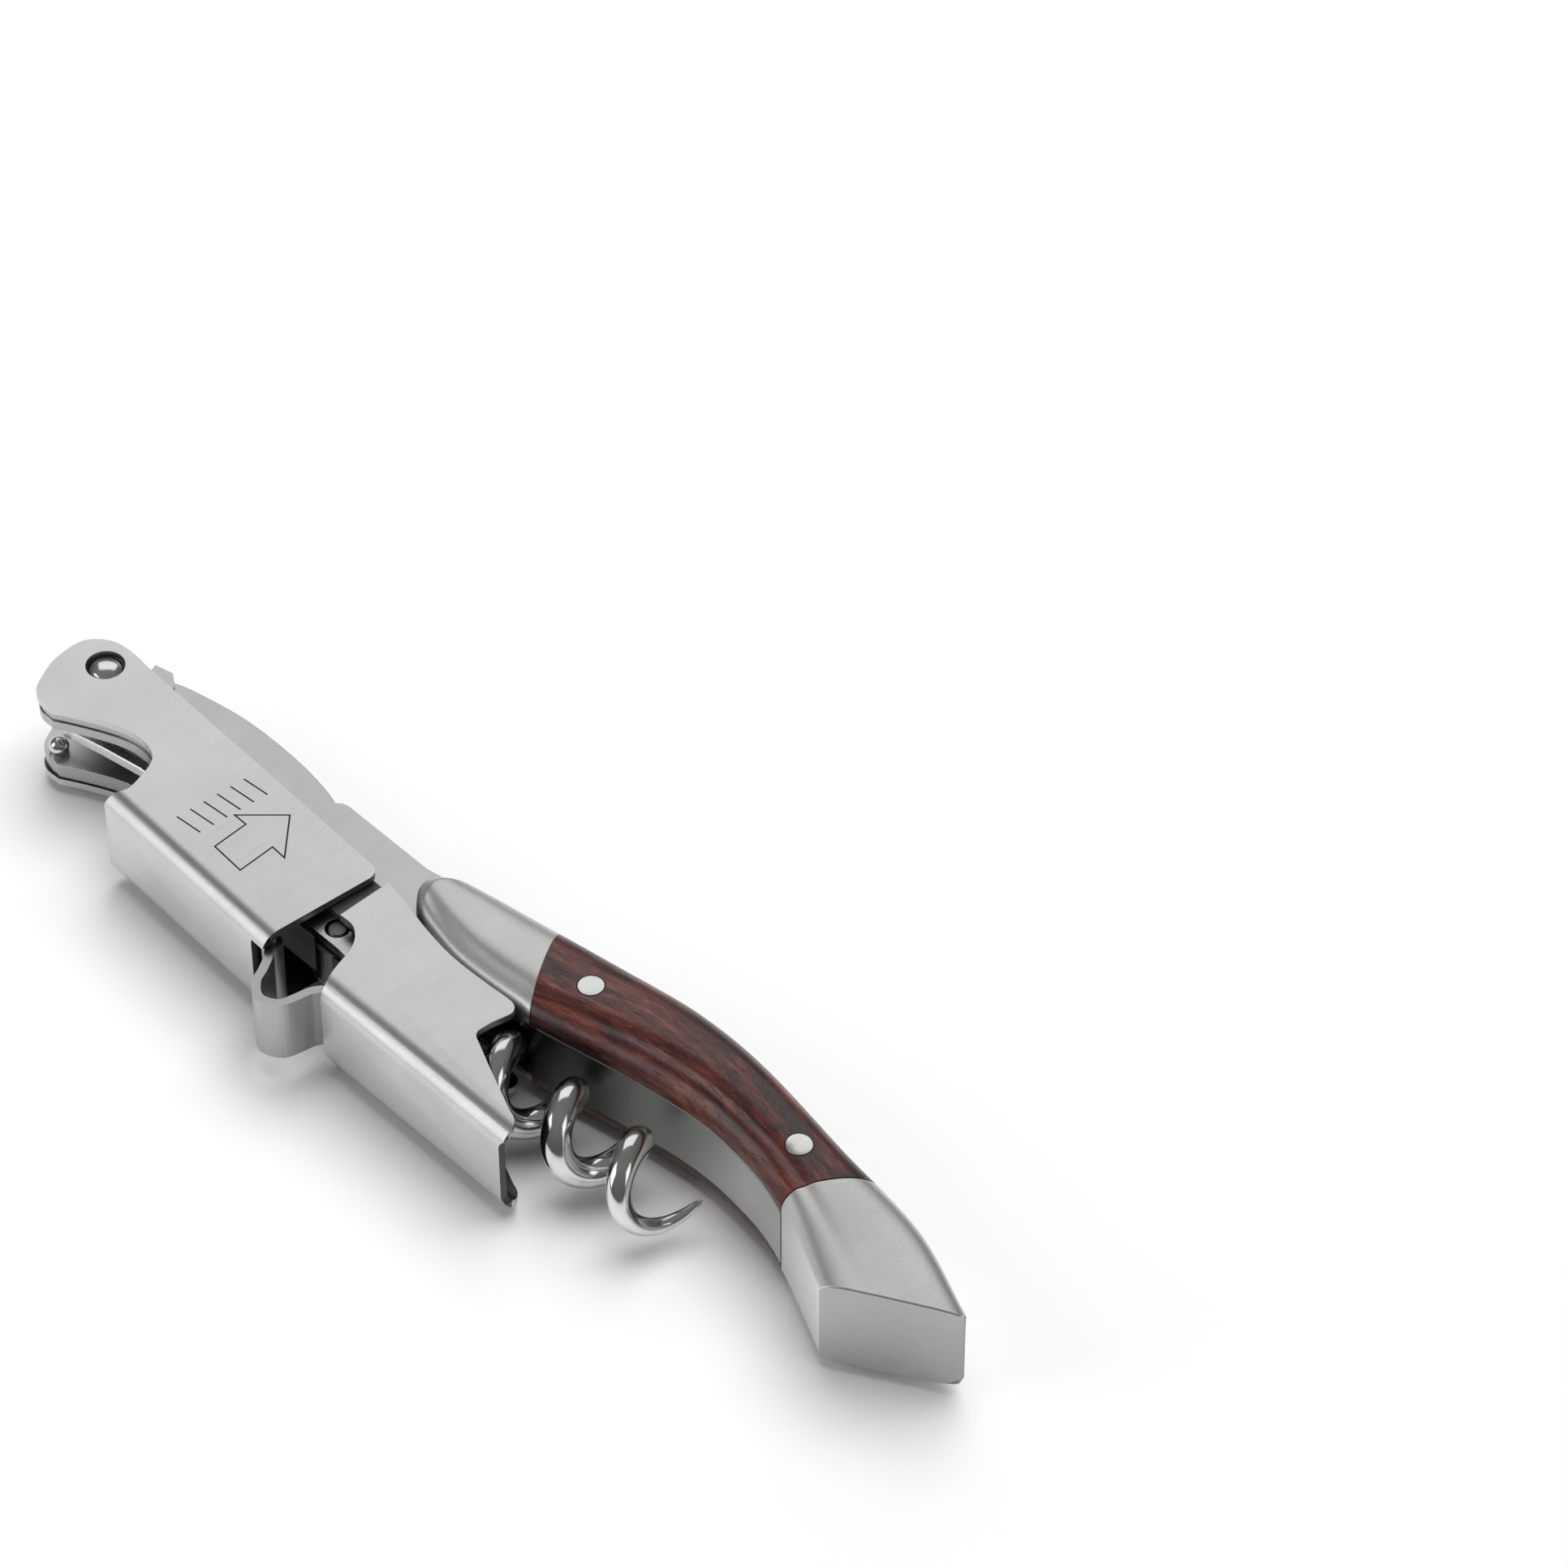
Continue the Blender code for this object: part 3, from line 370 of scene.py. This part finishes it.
def refined(node, body, slot, material, width, choose=None, extra=(), reshape=None):
    """A CAD node's own shape with its facets joined, its edges rounded and a finish per face."""
    bm = bmesh.new()
    bm.from_mesh(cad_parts[node].data)
    if reshape:
        reshape(bm)
    bmesh.ops.remove_doubles(bm, verts=bm.verts, dist=MERGE)
    bmesh.ops.dissolve_limit(bm, angle_limit=math.radians(FLAT_WITHIN), verts=bm.verts,
                             edges=bm.edges)
    for face in bm.faces:
        face.material_index = choose(face) if choose else 0
    soften(finish_piece(f"{node}_fine", bm, body, slot, (material, *extra), (node,)), width)


def bridge(bm, a, b):
    """Faces between two rings of as many corners."""
    for k in range(len(a)):
        j = (k + 1) % len(a)
        bm.faces.new((a[k], a[j], b[j], b[k]))


def lathe(profile, centre, sides=64):
    """Solid of revolution about a vertical axis, profile (radius, z) from top to bottom, in mm."""
    bm = bmesh.new()
    rings = []
    for radius, z in profile:
        if radius == 0:
            rings.append([bm.verts.new((centre[0], centre[1], z))])
            continue
        rings.append([bm.verts.new((centre[0] + radius * math.cos(2 * math.pi * k / sides),
                                    centre[1] + radius * math.sin(2 * math.pi * k / sides), z))
                      for k in range(sides)])
    for upper, lower in zip(rings, rings[1:]):
        for k in range(sides):
            j = (k + 1) % sides
            corners = [upper[k % len(upper)], upper[j % len(upper)],
                       lower[j % len(lower)], lower[k % len(lower)]]
            bm.faces.new(list(dict.fromkeys(corners)))
    bmesh.ops.recalc_face_normals(bm, faces=bm.faces)
    return to_frame(bm)


# ---- lever --------------------------------------------------------------------------------
def flat_or_back(face):
    """Flanges are brushed; the bend and the back are satin."""
    return 0 if abs(face.normal.z) > 0.97 else 1


def channel_finish(inner):
    """Finish chooser for a channel: flanges, back, and the inside, which gets a near-black painted
    shade.

    Known fault: it goes by height and not by which way a flange faces, so the outer faces of the
    second stage's tongues get the inside's painted shade too.
    """
    def choose(face):
        away = abs(face.calc_center_median().z - AXIS.z) / MM
        if away < inner + 0.02 and face.normal.y > -0.2:
            return 2
        return flat_or_back(face)
    return choose


refined("lever_first_stage", "lever", "lever_steel", LEVER_FLAT, 0.26,
        choose=channel_finish(LEVER_IN), extra=(LEVER_BACK, LEVER_INSIDE_SHADE))
refined("lever_second_stage", "second_stage", "lever_steel", LEVER_FLAT, 0.26,
        choose=channel_finish(STAGE_IN), extra=(LEVER_BACK, LEVER_INSIDE_SHADE))
refined("first_step_strip", "second_stage", "polished_steel", STRIP_WALL, 0.25)
refined("foil_knife", "knife", "blade_steel", BLADE_FLAT, 0.18)

SHIM_TO_LINER = 0.03
SHIM_TO_LEVER = 0.04


def fill_gap(bm):
    """Grow a head shim until it all but touches the liner and the flange beside it."""
    for vert in bm.verts:
        away = (vert.co.z - AXIS.z) / MM
        near_liner = abs(away) < (LINER_OUT + LEVER_IN) / 2
        reach = LINER_OUT + SHIM_TO_LINER if near_liner else LEVER_IN - SHIM_TO_LEVER
        vert.co.z = AXIS.z + math.copysign(reach * MM, away)


for side in ("top", "bottom"):
    refined(f"liner_{side}", "frame", "liner_steel", LINER_FLAT, 0.14,
            choose=flat_or_back, extra=(WALL_STEEL,))
    refined(f"head_shim_{side}", "frame", "liner_steel", LINER_FLAT, 0.1, choose=flat_or_back,
            extra=(WALL_STEEL,), reshape=fill_gap)
for node, slot, steel, edge in (("handle_core", "liner_steel", WALL_STEEL, 0.08),
                                ("back_spring", "spring_steel", WALL_STEEL, 0.08),
                                ("worm_spring", "spring_steel", INNER_SHADE_STEEL, 0.2),
                                ("knife_spring", "polished_steel", BAR_SATIN, 0.2)):
    refined(node, "frame", slot, steel, edge)


# ---- engraving on the lever ---------------------------------------------------------------
GROOVE_WIDTH = 0.17
GROOVE_LIFT = 0.004                            # above the flange, so that the ribbon is seen
SHARPEST_MITRE = 0.35


def engraved(name, paths, closed=True):
    """Thin grooves drawn as mitred ribbons that lie just on the flange's surface, with their shade
    painted dark.
    """
    bm = bmesh.new()
    z = LEVER_OUT + GROOVE_LIFT
    for path in paths:
        points = [Vector(p) for p in path]
        n = len(points)
        rims = []
        for k, p in enumerate(points):
            before = (p - points[k - 1]).normalized() if closed or k else None
            after = (points[(k + 1) % n] - p).normalized() if closed or k < n - 1 else None
            before, after = before or after, after or before
            along = (before + after).normalized()
            normal = Vector((-along.y, along.x))
            reach = GROOVE_WIDTH / 2 / max(SHARPEST_MITRE, along.dot(before))
            rims.append([bm.verts.new((*(p + normal * reach), z)),
                         bm.verts.new((*(p - normal * reach), z))])
        count = n if closed else n - 1
        for k in range(count):
            a, b = rims[k], rims[(k + 1) % n]
            bm.faces.new((a[0], a[1], b[1], b[0]))
    bmesh.ops.recalc_face_normals(bm, faces=bm.faces)
    for face in bm.faces:
        if face.normal.z < 0:
            face.normal_flip()
    return finish_piece(name, to_frame(bm), "lever", "lever_steel", (GROOVE_SHADE,))


engraved("engraved_arrow", [[(30.6, -8.35), (26.5, -8.1), (26.3, -4.0), (24.6, -4.0), (28.3, -0.1),
                             (32.3, -4.2), (30.4, -4.1)]])
grip_lines = []
for k in range(6):
    y = -8.2 + 1.6 * k
    grip_lines.append([(20.9 + 0.12 * k, y), (24.1 + 0.12 * k, y + 0.3)])
engraved("engraved_grip_lines", grip_lines, closed=False)


# ---- handle slabs -------------------------------------------------------------------------
BACK_EDGE = [(43.0, 5.6), (46.6, 6.9), (57.7, 8.9), (65.4, 10.2), (74.3, 11.5), (83.0, 11.4),
             (95.9, 9.6), (107.6, 8.0), (117.6, 4.1)]
BELLY_EDGE = [(43.0, 2.0), (45.6, 0.75), (49.3, -0.15), (53.0, -0.7), (57.0, -0.7), (60.5, -0.5),
              (63.8, -0.4), (74.8, 1.8), (83.7, 2.9), (91.3, 2.3), (96.3, 0.9), (106.1, -3.5),
              (118.0, -9.0)]
HALF_HEIGHT = [(43.0, 5.9), (52.0, 6.16), (62.0, 6.43), (78.0, 6.69), (96.0, 6.3), (106.0, 5.63),
               (118.0, 5.23)]
EDGE_SHARE = [(43.0, 0.24), (78.0, 0.21), (96.0, 0.21), (106.0, 0.27), (118.0, 0.40)]
SQUARENESS = [(43.0, 3.0), (96.0, 3.2), (106.0, 4.2), (118.0, 6.0)]
CREASE_DEPTH = [(43.0, 0.08), (50.0, 0.13), (60.0, 0.11), (66.0, 0.09), (76.0, 0.15), (90.0, 0.14),
                (98.0, 0.09), (106.0, 0.04), (118.0, 0.0)]
CREASE_WIDTH = [(43.0, 0.11), (60.0, 0.09), (70.0, 0.075), (118.0, 0.085)]
CREASE_PLACE = [(43.0, 0.40), (46.0, 0.29), (49.3, 0.20), (55.0, 0.15), (61.3, 0.15), (70.0, 0.24),
                (76.0, 0.29), (90.0, 0.30), (118.0, 0.30)]
SEAM = 0.03                                    # hairline that shows between fitted pieces
WALL_FRONT = 63.2                              # where the core between the liners begins
SLAB_BASE = LINER_OUT + 0.02


def across(x, t):
    low, high = curve(BELLY_EDGE, x), curve(BACK_EDGE, x)
    return low + (high - low) * t


def surface(x, t):
    """Height of the handle's surface above mid thickness."""
    rise = (1 - abs(2 * t - 1)**curve(SQUARENESS, x))**0.6
    crease = math.exp(-((t - curve(CREASE_PLACE, x)) / curve(CREASE_WIDTH, x))**2)
    edge = curve(EDGE_SHARE, x)
    share = edge + (1 - edge) * (rise - curve(CREASE_DEPTH, x) * crease)
    return SLAB_BASE + (curve(HALF_HEIGHT, x) - SLAB_BASE) * share


def scale_end(t):
    return 63.4 - 5.7 * t - 1.6 * t * (1 - t)


def tail_start(t):
    return 96.6 + 4.2 * t**1.6


def tail_end(t):
    return 106.1 + 11.5 * min(1.0, t / 0.946)


def bolster_start(t):
    return 43.5 + 2.6 * abs(2 * t - 1)**2.6


def bolster_top(x, t, u):
    nose = min(1.0, 0.42 + 1.9 * u**0.5)
    return SLAB_BASE + (surface(x, t) - SLAB_BASE) * nose


def slab(start, end, top, base, rows, columns=64):
    """Closed crowned slab between two slanted ends."""
    bm = bmesh.new()
    spread = [0.5 - 0.5 * math.cos(math.pi * c / columns) for c in range(columns + 1)]
    upper, lower = [], []
    for r in range(rows + 1):
        u = r / rows
        upper.append([])
        lower.append([])
        for t in spread:
            x = start(t) + (end(t) - start(t)) * u
            y = across(x, t)
            upper[-1].append(bm.verts.new((x, y, top(x, t, u))))
            lower[-1].append(bm.verts.new((x, y, base(x, t, u))))
    for r in range(rows):
        for c in range(columns):
            bm.faces.new((upper[r][c], upper[r + 1][c], upper[r + 1][c + 1], upper[r][c + 1]))
            bm.faces.new((lower[r][c], lower[r][c + 1], lower[r + 1][c + 1], lower[r + 1][c]))
        bm.faces.new((upper[r][0], lower[r][0], lower[r + 1][0], upper[r + 1][0]))
        bm.faces.new((upper[r][-1], upper[r + 1][-1], lower[r + 1][-1], lower[r][-1]))
    bm.faces.new(upper[0] + lower[0][::-1])
    bm.faces.new(upper[-1][::-1] + lower[-1])
    bmesh.ops.recalc_face_normals(bm, faces=bm.faces)
    return bm


def mirrored(bm):
    bmesh.ops.scale(bm, vec=(1, 1, -1), verts=bm.verts)
    bmesh.ops.reverse_faces(bm, faces=bm.faces)
    return bm


def flat_base(x, t, u):
    return SLAB_BASE


def crown(x, t, u):
    return surface(x, t)


def far_crown(x, t, u):
    return -surface(x, t)


def unturned(bm):
    return bm


for side in ("top", "bottom"):
    turn = mirrored if side == "bottom" else unturned
    bolster = finish_piece(f"bolster_{side}_fine",
                           to_frame(turn(slab(bolster_start, lambda t: scale_end(t) - SEAM,
                                              bolster_top, flat_base, 60))),
                           "frame", "bolster_steel", (BOLSTER,), (f"front_bolster_{side}",), 50)
    soften(bolster, 0.1, 2, 50.0)
    scale = finish_piece(f"scale_{side}_fine",
                         to_frame(turn(slab(scale_end, lambda t: tail_start(t) - SEAM,
                                            crown, flat_base, 90))),
                         "frame", "rosewood", (WOOD,), (f"scale_{side}",), 50)
    soften(scale, 0.1, 2, 50.0)

tail = slab(tail_start, tail_end, crown, far_crown, 50)
for face in tail.faces:
    if face.normal.y < -0.3 and face.normal.x > 0.3 and len(face.verts) > 4:
        face.material_index = 1
soften(finish_piece("tail_cap_fine", to_frame(tail), "frame", "bolster_steel", (TAIL_TOP, TAIL_END),
                    ("tail_cap",), 40), 0.25, 4, 40.0)

# A skin over the belly's seams between core and liners. It is in the looks only.
WALL_STEPS = 80
WALL_SECTION = ((LINER_OUT - 0.01, 0.05), (LINER_OUT - 0.05, -0.07), (-LINER_OUT + 0.05, -0.07),
                (-LINER_OUT + 0.01, 0.05), (-LINER_OUT + 0.5, 0.15),
                (LINER_OUT - 0.5, 0.15))       # height, mm into the handle
wall = bmesh.new()
sections = []
for k in range(WALL_STEPS + 1):
    x = WALL_FRONT + (tail_start(0.0) - WALL_FRONT) * k / WALL_STEPS
    y = curve(BELLY_EDGE, x)
    sections.append([wall.verts.new((x, y + inward, z)) for z, inward in WALL_SECTION])
for a, b in zip(sections, sections[1:]):
    bridge(wall, a, b)
wall.faces.new(sections[0])
wall.faces.new(sections[-1][::-1])
bmesh.ops.recalc_face_normals(wall, faces=wall.faces)
finish_piece("belly_wall", to_frame(wall), "frame", "liner_steel", (BELLY_WALL_PAINTED_SHADE,))


# ---- rivets, stud and washers -------------------------------------------------------------
dome = [(0.0, LEVER_OUT - 0.01), (0.5, LEVER_OUT - 0.04), (0.95, LEVER_OUT - 0.13),
        (1.3, LEVER_OUT - 0.27), (1.55, LEVER_OUT - 0.46), (1.7, LEVER_OUT - 0.72),
        (1.73, LINER_OUT + 0.05), (0.95, LINER_OUT + 0.05)]
finish_piece("head_rivet_fine", lathe(dome + [(r, -z) for r, z in dome[::-1]], (0.0, 0.0)),
             "frame", "polished_steel", (BRIGHT,), ("head_rivet",), 40)


def box_centre(node):
    low, high = (Vector(c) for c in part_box(node))
    return (low + high) / 2 - AXIS, high - low


RIVET_SIDES = 48
RIVET_FACE = ((0.0, 0.03), (0.5, 0.03), (0.88, 0.028), (0.97, 0.012), (1.0, -0.05),
              (1.0, -1.5))                     # share of the radius, mm above the wood
GAP_LIFT = 0.006                               # above the wood, so that the ring of painted gap shade is seen


def ring_on_handle(bm, x, y, radius, lift, sign):
    """Ring of corners that follows the handle's surface about a rivet."""
    ring = []
    for k in range(RIVET_SIDES):
        a = 2 * math.pi * k / RIVET_SIDES
        px, py = x + radius * math.cos(a), y + radius * math.sin(a)
        low, high = curve(BELLY_EDGE, px), curve(BACK_EDGE, px)
        z = surface(px, (py - low) / (high - low)) + lift
        ring.append(bm.verts.new((px, py, sign * z)))
    return ring


for end in ("front", "rear"):
    spot, size = box_centre(f"scale_rivet_{end}")
    x, y = spot.x / MM, spot.y / MM
    radius = size.x / MM / 2
    bm = bmesh.new()
    for sign in (1, -1):
        rings = [ring_on_handle(bm, x, y, radius * share, lift, sign) for share, lift in RIVET_FACE]
        for a, b in zip(rings, rings[1:]):
            bridge(bm, a, b)
    bmesh.ops.remove_doubles(bm, verts=bm.verts, dist=1e-5)
    bmesh.ops.recalc_face_normals(bm, faces=bm.faces)
    finish_piece(f"scale_rivet_{end}_fine", to_frame(bm), "frame", "rivet_steel", (RIVET_BRIGHT,),
                 (f"scale_rivet_{end}",), 30)
    # Painted shade: a flat near-black ring on the wood about the rivet stands for the gap's shade.
    bm = bmesh.new()
    for sign in (1, -1):
        inner, outer = (ring_on_handle(bm, x, y, reach, GAP_LIFT, sign)
                        for reach in (radius - 0.02, radius + 0.11))
        bridge(bm, inner, outer)
    finish_piece(f"scale_rivet_{end}_gap", to_frame(bm), "frame", "rivet_steel", (GROOVE_SHADE,))

spot, size = box_centre("cap_lifter_stud")
x, y = spot.x / MM, spot.y / MM
low_z, high_z = (spot.z - size.z / 2) / MM, (spot.z + size.z / 2) / MM
ball = size.x / MM / 2
BALL_STEPS = 12
profile = [(0.0, high_z)]
for k in range(1, BALL_STEPS + 1):
    a = math.pi / 2 * (1 - k / BALL_STEPS)
    profile.append((ball * math.cos(a), high_z - ball + ball * math.sin(a)))
profile += [(ball * 0.9, high_z - ball * 1.35), (ball * 0.75, high_z - ball * 1.6),
            (ball * 0.85, low_z), (0.0, low_z)]
finish_piece("cap_lifter_stud_fine", lathe(profile, (x, y)), "frame", "polished_steel", (BRIGHT,),
             ("cap_lifter_stud",), 40)

# These nodes are shown as the CAD has them, with only their finish changed to the near-black
# painted shade of the inner parts.
for node in ("worm_pin", "step_hinge_pin", "knife_washer_top", "knife_washer_bottom", "worm_hub"):
    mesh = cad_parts[node].data
    if mesh.materials:
        mesh.materials[0] = INNER_SHADE_STEEL
    else:
        mesh.materials.append(INNER_SHADE_STEEL)


# ---- worm ---------------------------------------------------------------------------------
WIRE_R = 1.5
COIL_R = 3.0
PITCH = 8.6
WORM_AXLE = (41.5, -5.5)
WORM_TILT = math.radians(2.0)
COIL_START = 49.0
FRONT_CROSSING = 74.9
WORM_TIP = 87.1
TAPER = 6.5
WIRE_STEPS = 330


def worm_wire():
    """Wire centre line and radius; the whole worm leans about its axle."""
    axle = Vector((*WORM_AXLE, 0.0))
    lean = Matrix.Rotation(WORM_TILT, 3, "Z")
    out = [(axle + lean @ Vector((x - WORM_AXLE[0], 0.0, 0.0)), WIRE_R) for x in (44.3, 46.5)]
    for k in range(WIRE_STEPS + 1):
        x = COIL_START + (WORM_TIP - COIL_START) * k / WIRE_STEPS
        angle = math.pi + 2 * math.pi * (x - FRONT_CROSSING) / PITCH
        opened = min(1.0, (x - COIL_START) / (0.8 * PITCH))
        radius = COIL_R * opened * opened * (3 - 2 * opened)
        tip = min(1.0, (WORM_TIP - x) / TAPER)
        wire = WIRE_R * (0.08 + 0.92 * tip**0.5)
        centre = COIL_R + (WIRE_R - wire) * 0.9 if tip < 1 else radius
        coil = Vector((x - WORM_AXLE[0], centre * math.cos(angle), centre * math.sin(angle)))
        out.append((axle + lean @ coil, wire))
    return out


def tube(points, sides=32):
    bm = bmesh.new()
    normal = Vector((0, 0, 1))
    rings = []
    for i, (spot, radius) in enumerate(points):
        along = points[min(i + 1, len(points) - 1)][0] - points[max(i - 1, 0)][0]
        along.normalize()
        normal = (normal - along * normal.dot(along)).normalized()
        other = along.cross(normal)
        rings.append([bm.verts.new(spot + (normal * math.cos(2 * math.pi * k / sides)
                                           + other * math.sin(2 * math.pi * k / sides)) * radius)
                      for k in range(sides)])
    for a, b in zip(rings, rings[1:]):
        bridge(bm, a, b)
    for ring, spot in ((rings[0], points[0][0]), (rings[-1], points[-1][0])):
        tip = bm.verts.new(spot)
        for k in range(sides):
            bm.faces.new((ring[k], ring[(k + 1) % sides], tip))
    bmesh.ops.recalc_face_normals(bm, faces=bm.faces)
    return to_frame(bm)


finish_piece("worm_fine", tube(worm_wire()), "worm", "worm_steel", (WORM_BRIGHT,), ("worm",), 60)


# ---- camera, floor and light --------------------------------------------------------------
def floor_material():
    f = Finish("floor_pale", 0.65, 0.0)
    f.colour(f.mix(f.noise((9.0, 9.0, 9.0)), (0.93, 0.93, 0.93), (0.95, 0.95, 0.95)))
    return f.material


bpy.ops.mesh.primitive_plane_add(size=6.0, location=(0, 0, 0))
floor = bpy.context.object
floor.name = "floor"
floor.data.materials.append(floor_material())

FORWARD = Vector((-0.5039, 0.4782, -0.7193)).normalized()
LOOK_AT = Vector((-0.0068, 0.0484, 0.0))
CAMERA_DISTANCE = 0.65
camera_data = bpy.data.cameras.new("camera")
camera_data.sensor_width = 36.0
camera_data.lens = 149.07
camera_data.clip_start = 0.01
camera = bpy.data.objects.new("camera", camera_data)
camera.location = LOOK_AT - FORWARD * CAMERA_DISTANCE
camera.rotation_euler = FORWARD.to_track_quat("-Z", "Y").to_euler()
bpy.context.scene.collection.objects.link(camera)
bpy.context.scene.camera = camera


def softbox(name, direction, distance, size, radiance, in_reflections=True):
    """Soft rectangular lamp that faces the object from a direction."""
    data = bpy.data.lights.new(name, "AREA")
    data.shape = "RECTANGLE"
    data.size, data.size_y = size
    data.energy = radiance * math.pi * size[0] * size[1]
    lamp = bpy.data.objects.new(name, data)
    lamp.location = Vector(direction).normalized() * distance
    lamp.rotation_euler = (-lamp.location).to_track_quat("-Z", "Y").to_euler()
    lamp.visible_camera = False
    lamp.visible_glossy = in_reflections
    bpy.context.scene.collection.objects.link(lamp)
    return lamp


softbox("back_softbox", (-0.50, 0.50, 0.66), 1.0, (0.90, 0.66), 0.92)
softbox("left_softbox", (-0.50, -0.72, 0.45), 0.9, (0.50, 0.62), 1.7)
softbox("right_softbox", (0.90, 0.30, 0.42), 1.0, (0.35, 0.5), 1.2)
softbox("overhead_key", (-0.05, 0.32, 1.0), 1.6, (1.5, 1.5), 3.5, in_reflections=False)

world = bpy.data.worlds.new("studio")
bpy.context.scene.world = world
world.use_nodes = True
tree = world.node_tree
back = tree.nodes["Background"]
sky_place = tree.nodes.new("ShaderNodeTexCoord")
sky_parts = tree.nodes.new("ShaderNodeSeparateXYZ")
tree.links.new(sky_place.outputs["Generated"], sky_parts.inputs[0])
sky_rise = tree.nodes.new("ShaderNodeMapRange")
for socket, value in (("From Min", 0.05), ("From Max", 0.9), ("To Min", 0.10), ("To Max", 0.20)):
    sky_rise.inputs[socket].default_value = value
tree.links.new(sky_parts.outputs["Z"], sky_rise.inputs["Value"])
tree.links.new(sky_rise.outputs["Result"], back.inputs["Color"])
back.inputs["Strength"].default_value = 1.0
bpy.context.scene.view_settings.view_transform = "Standard"
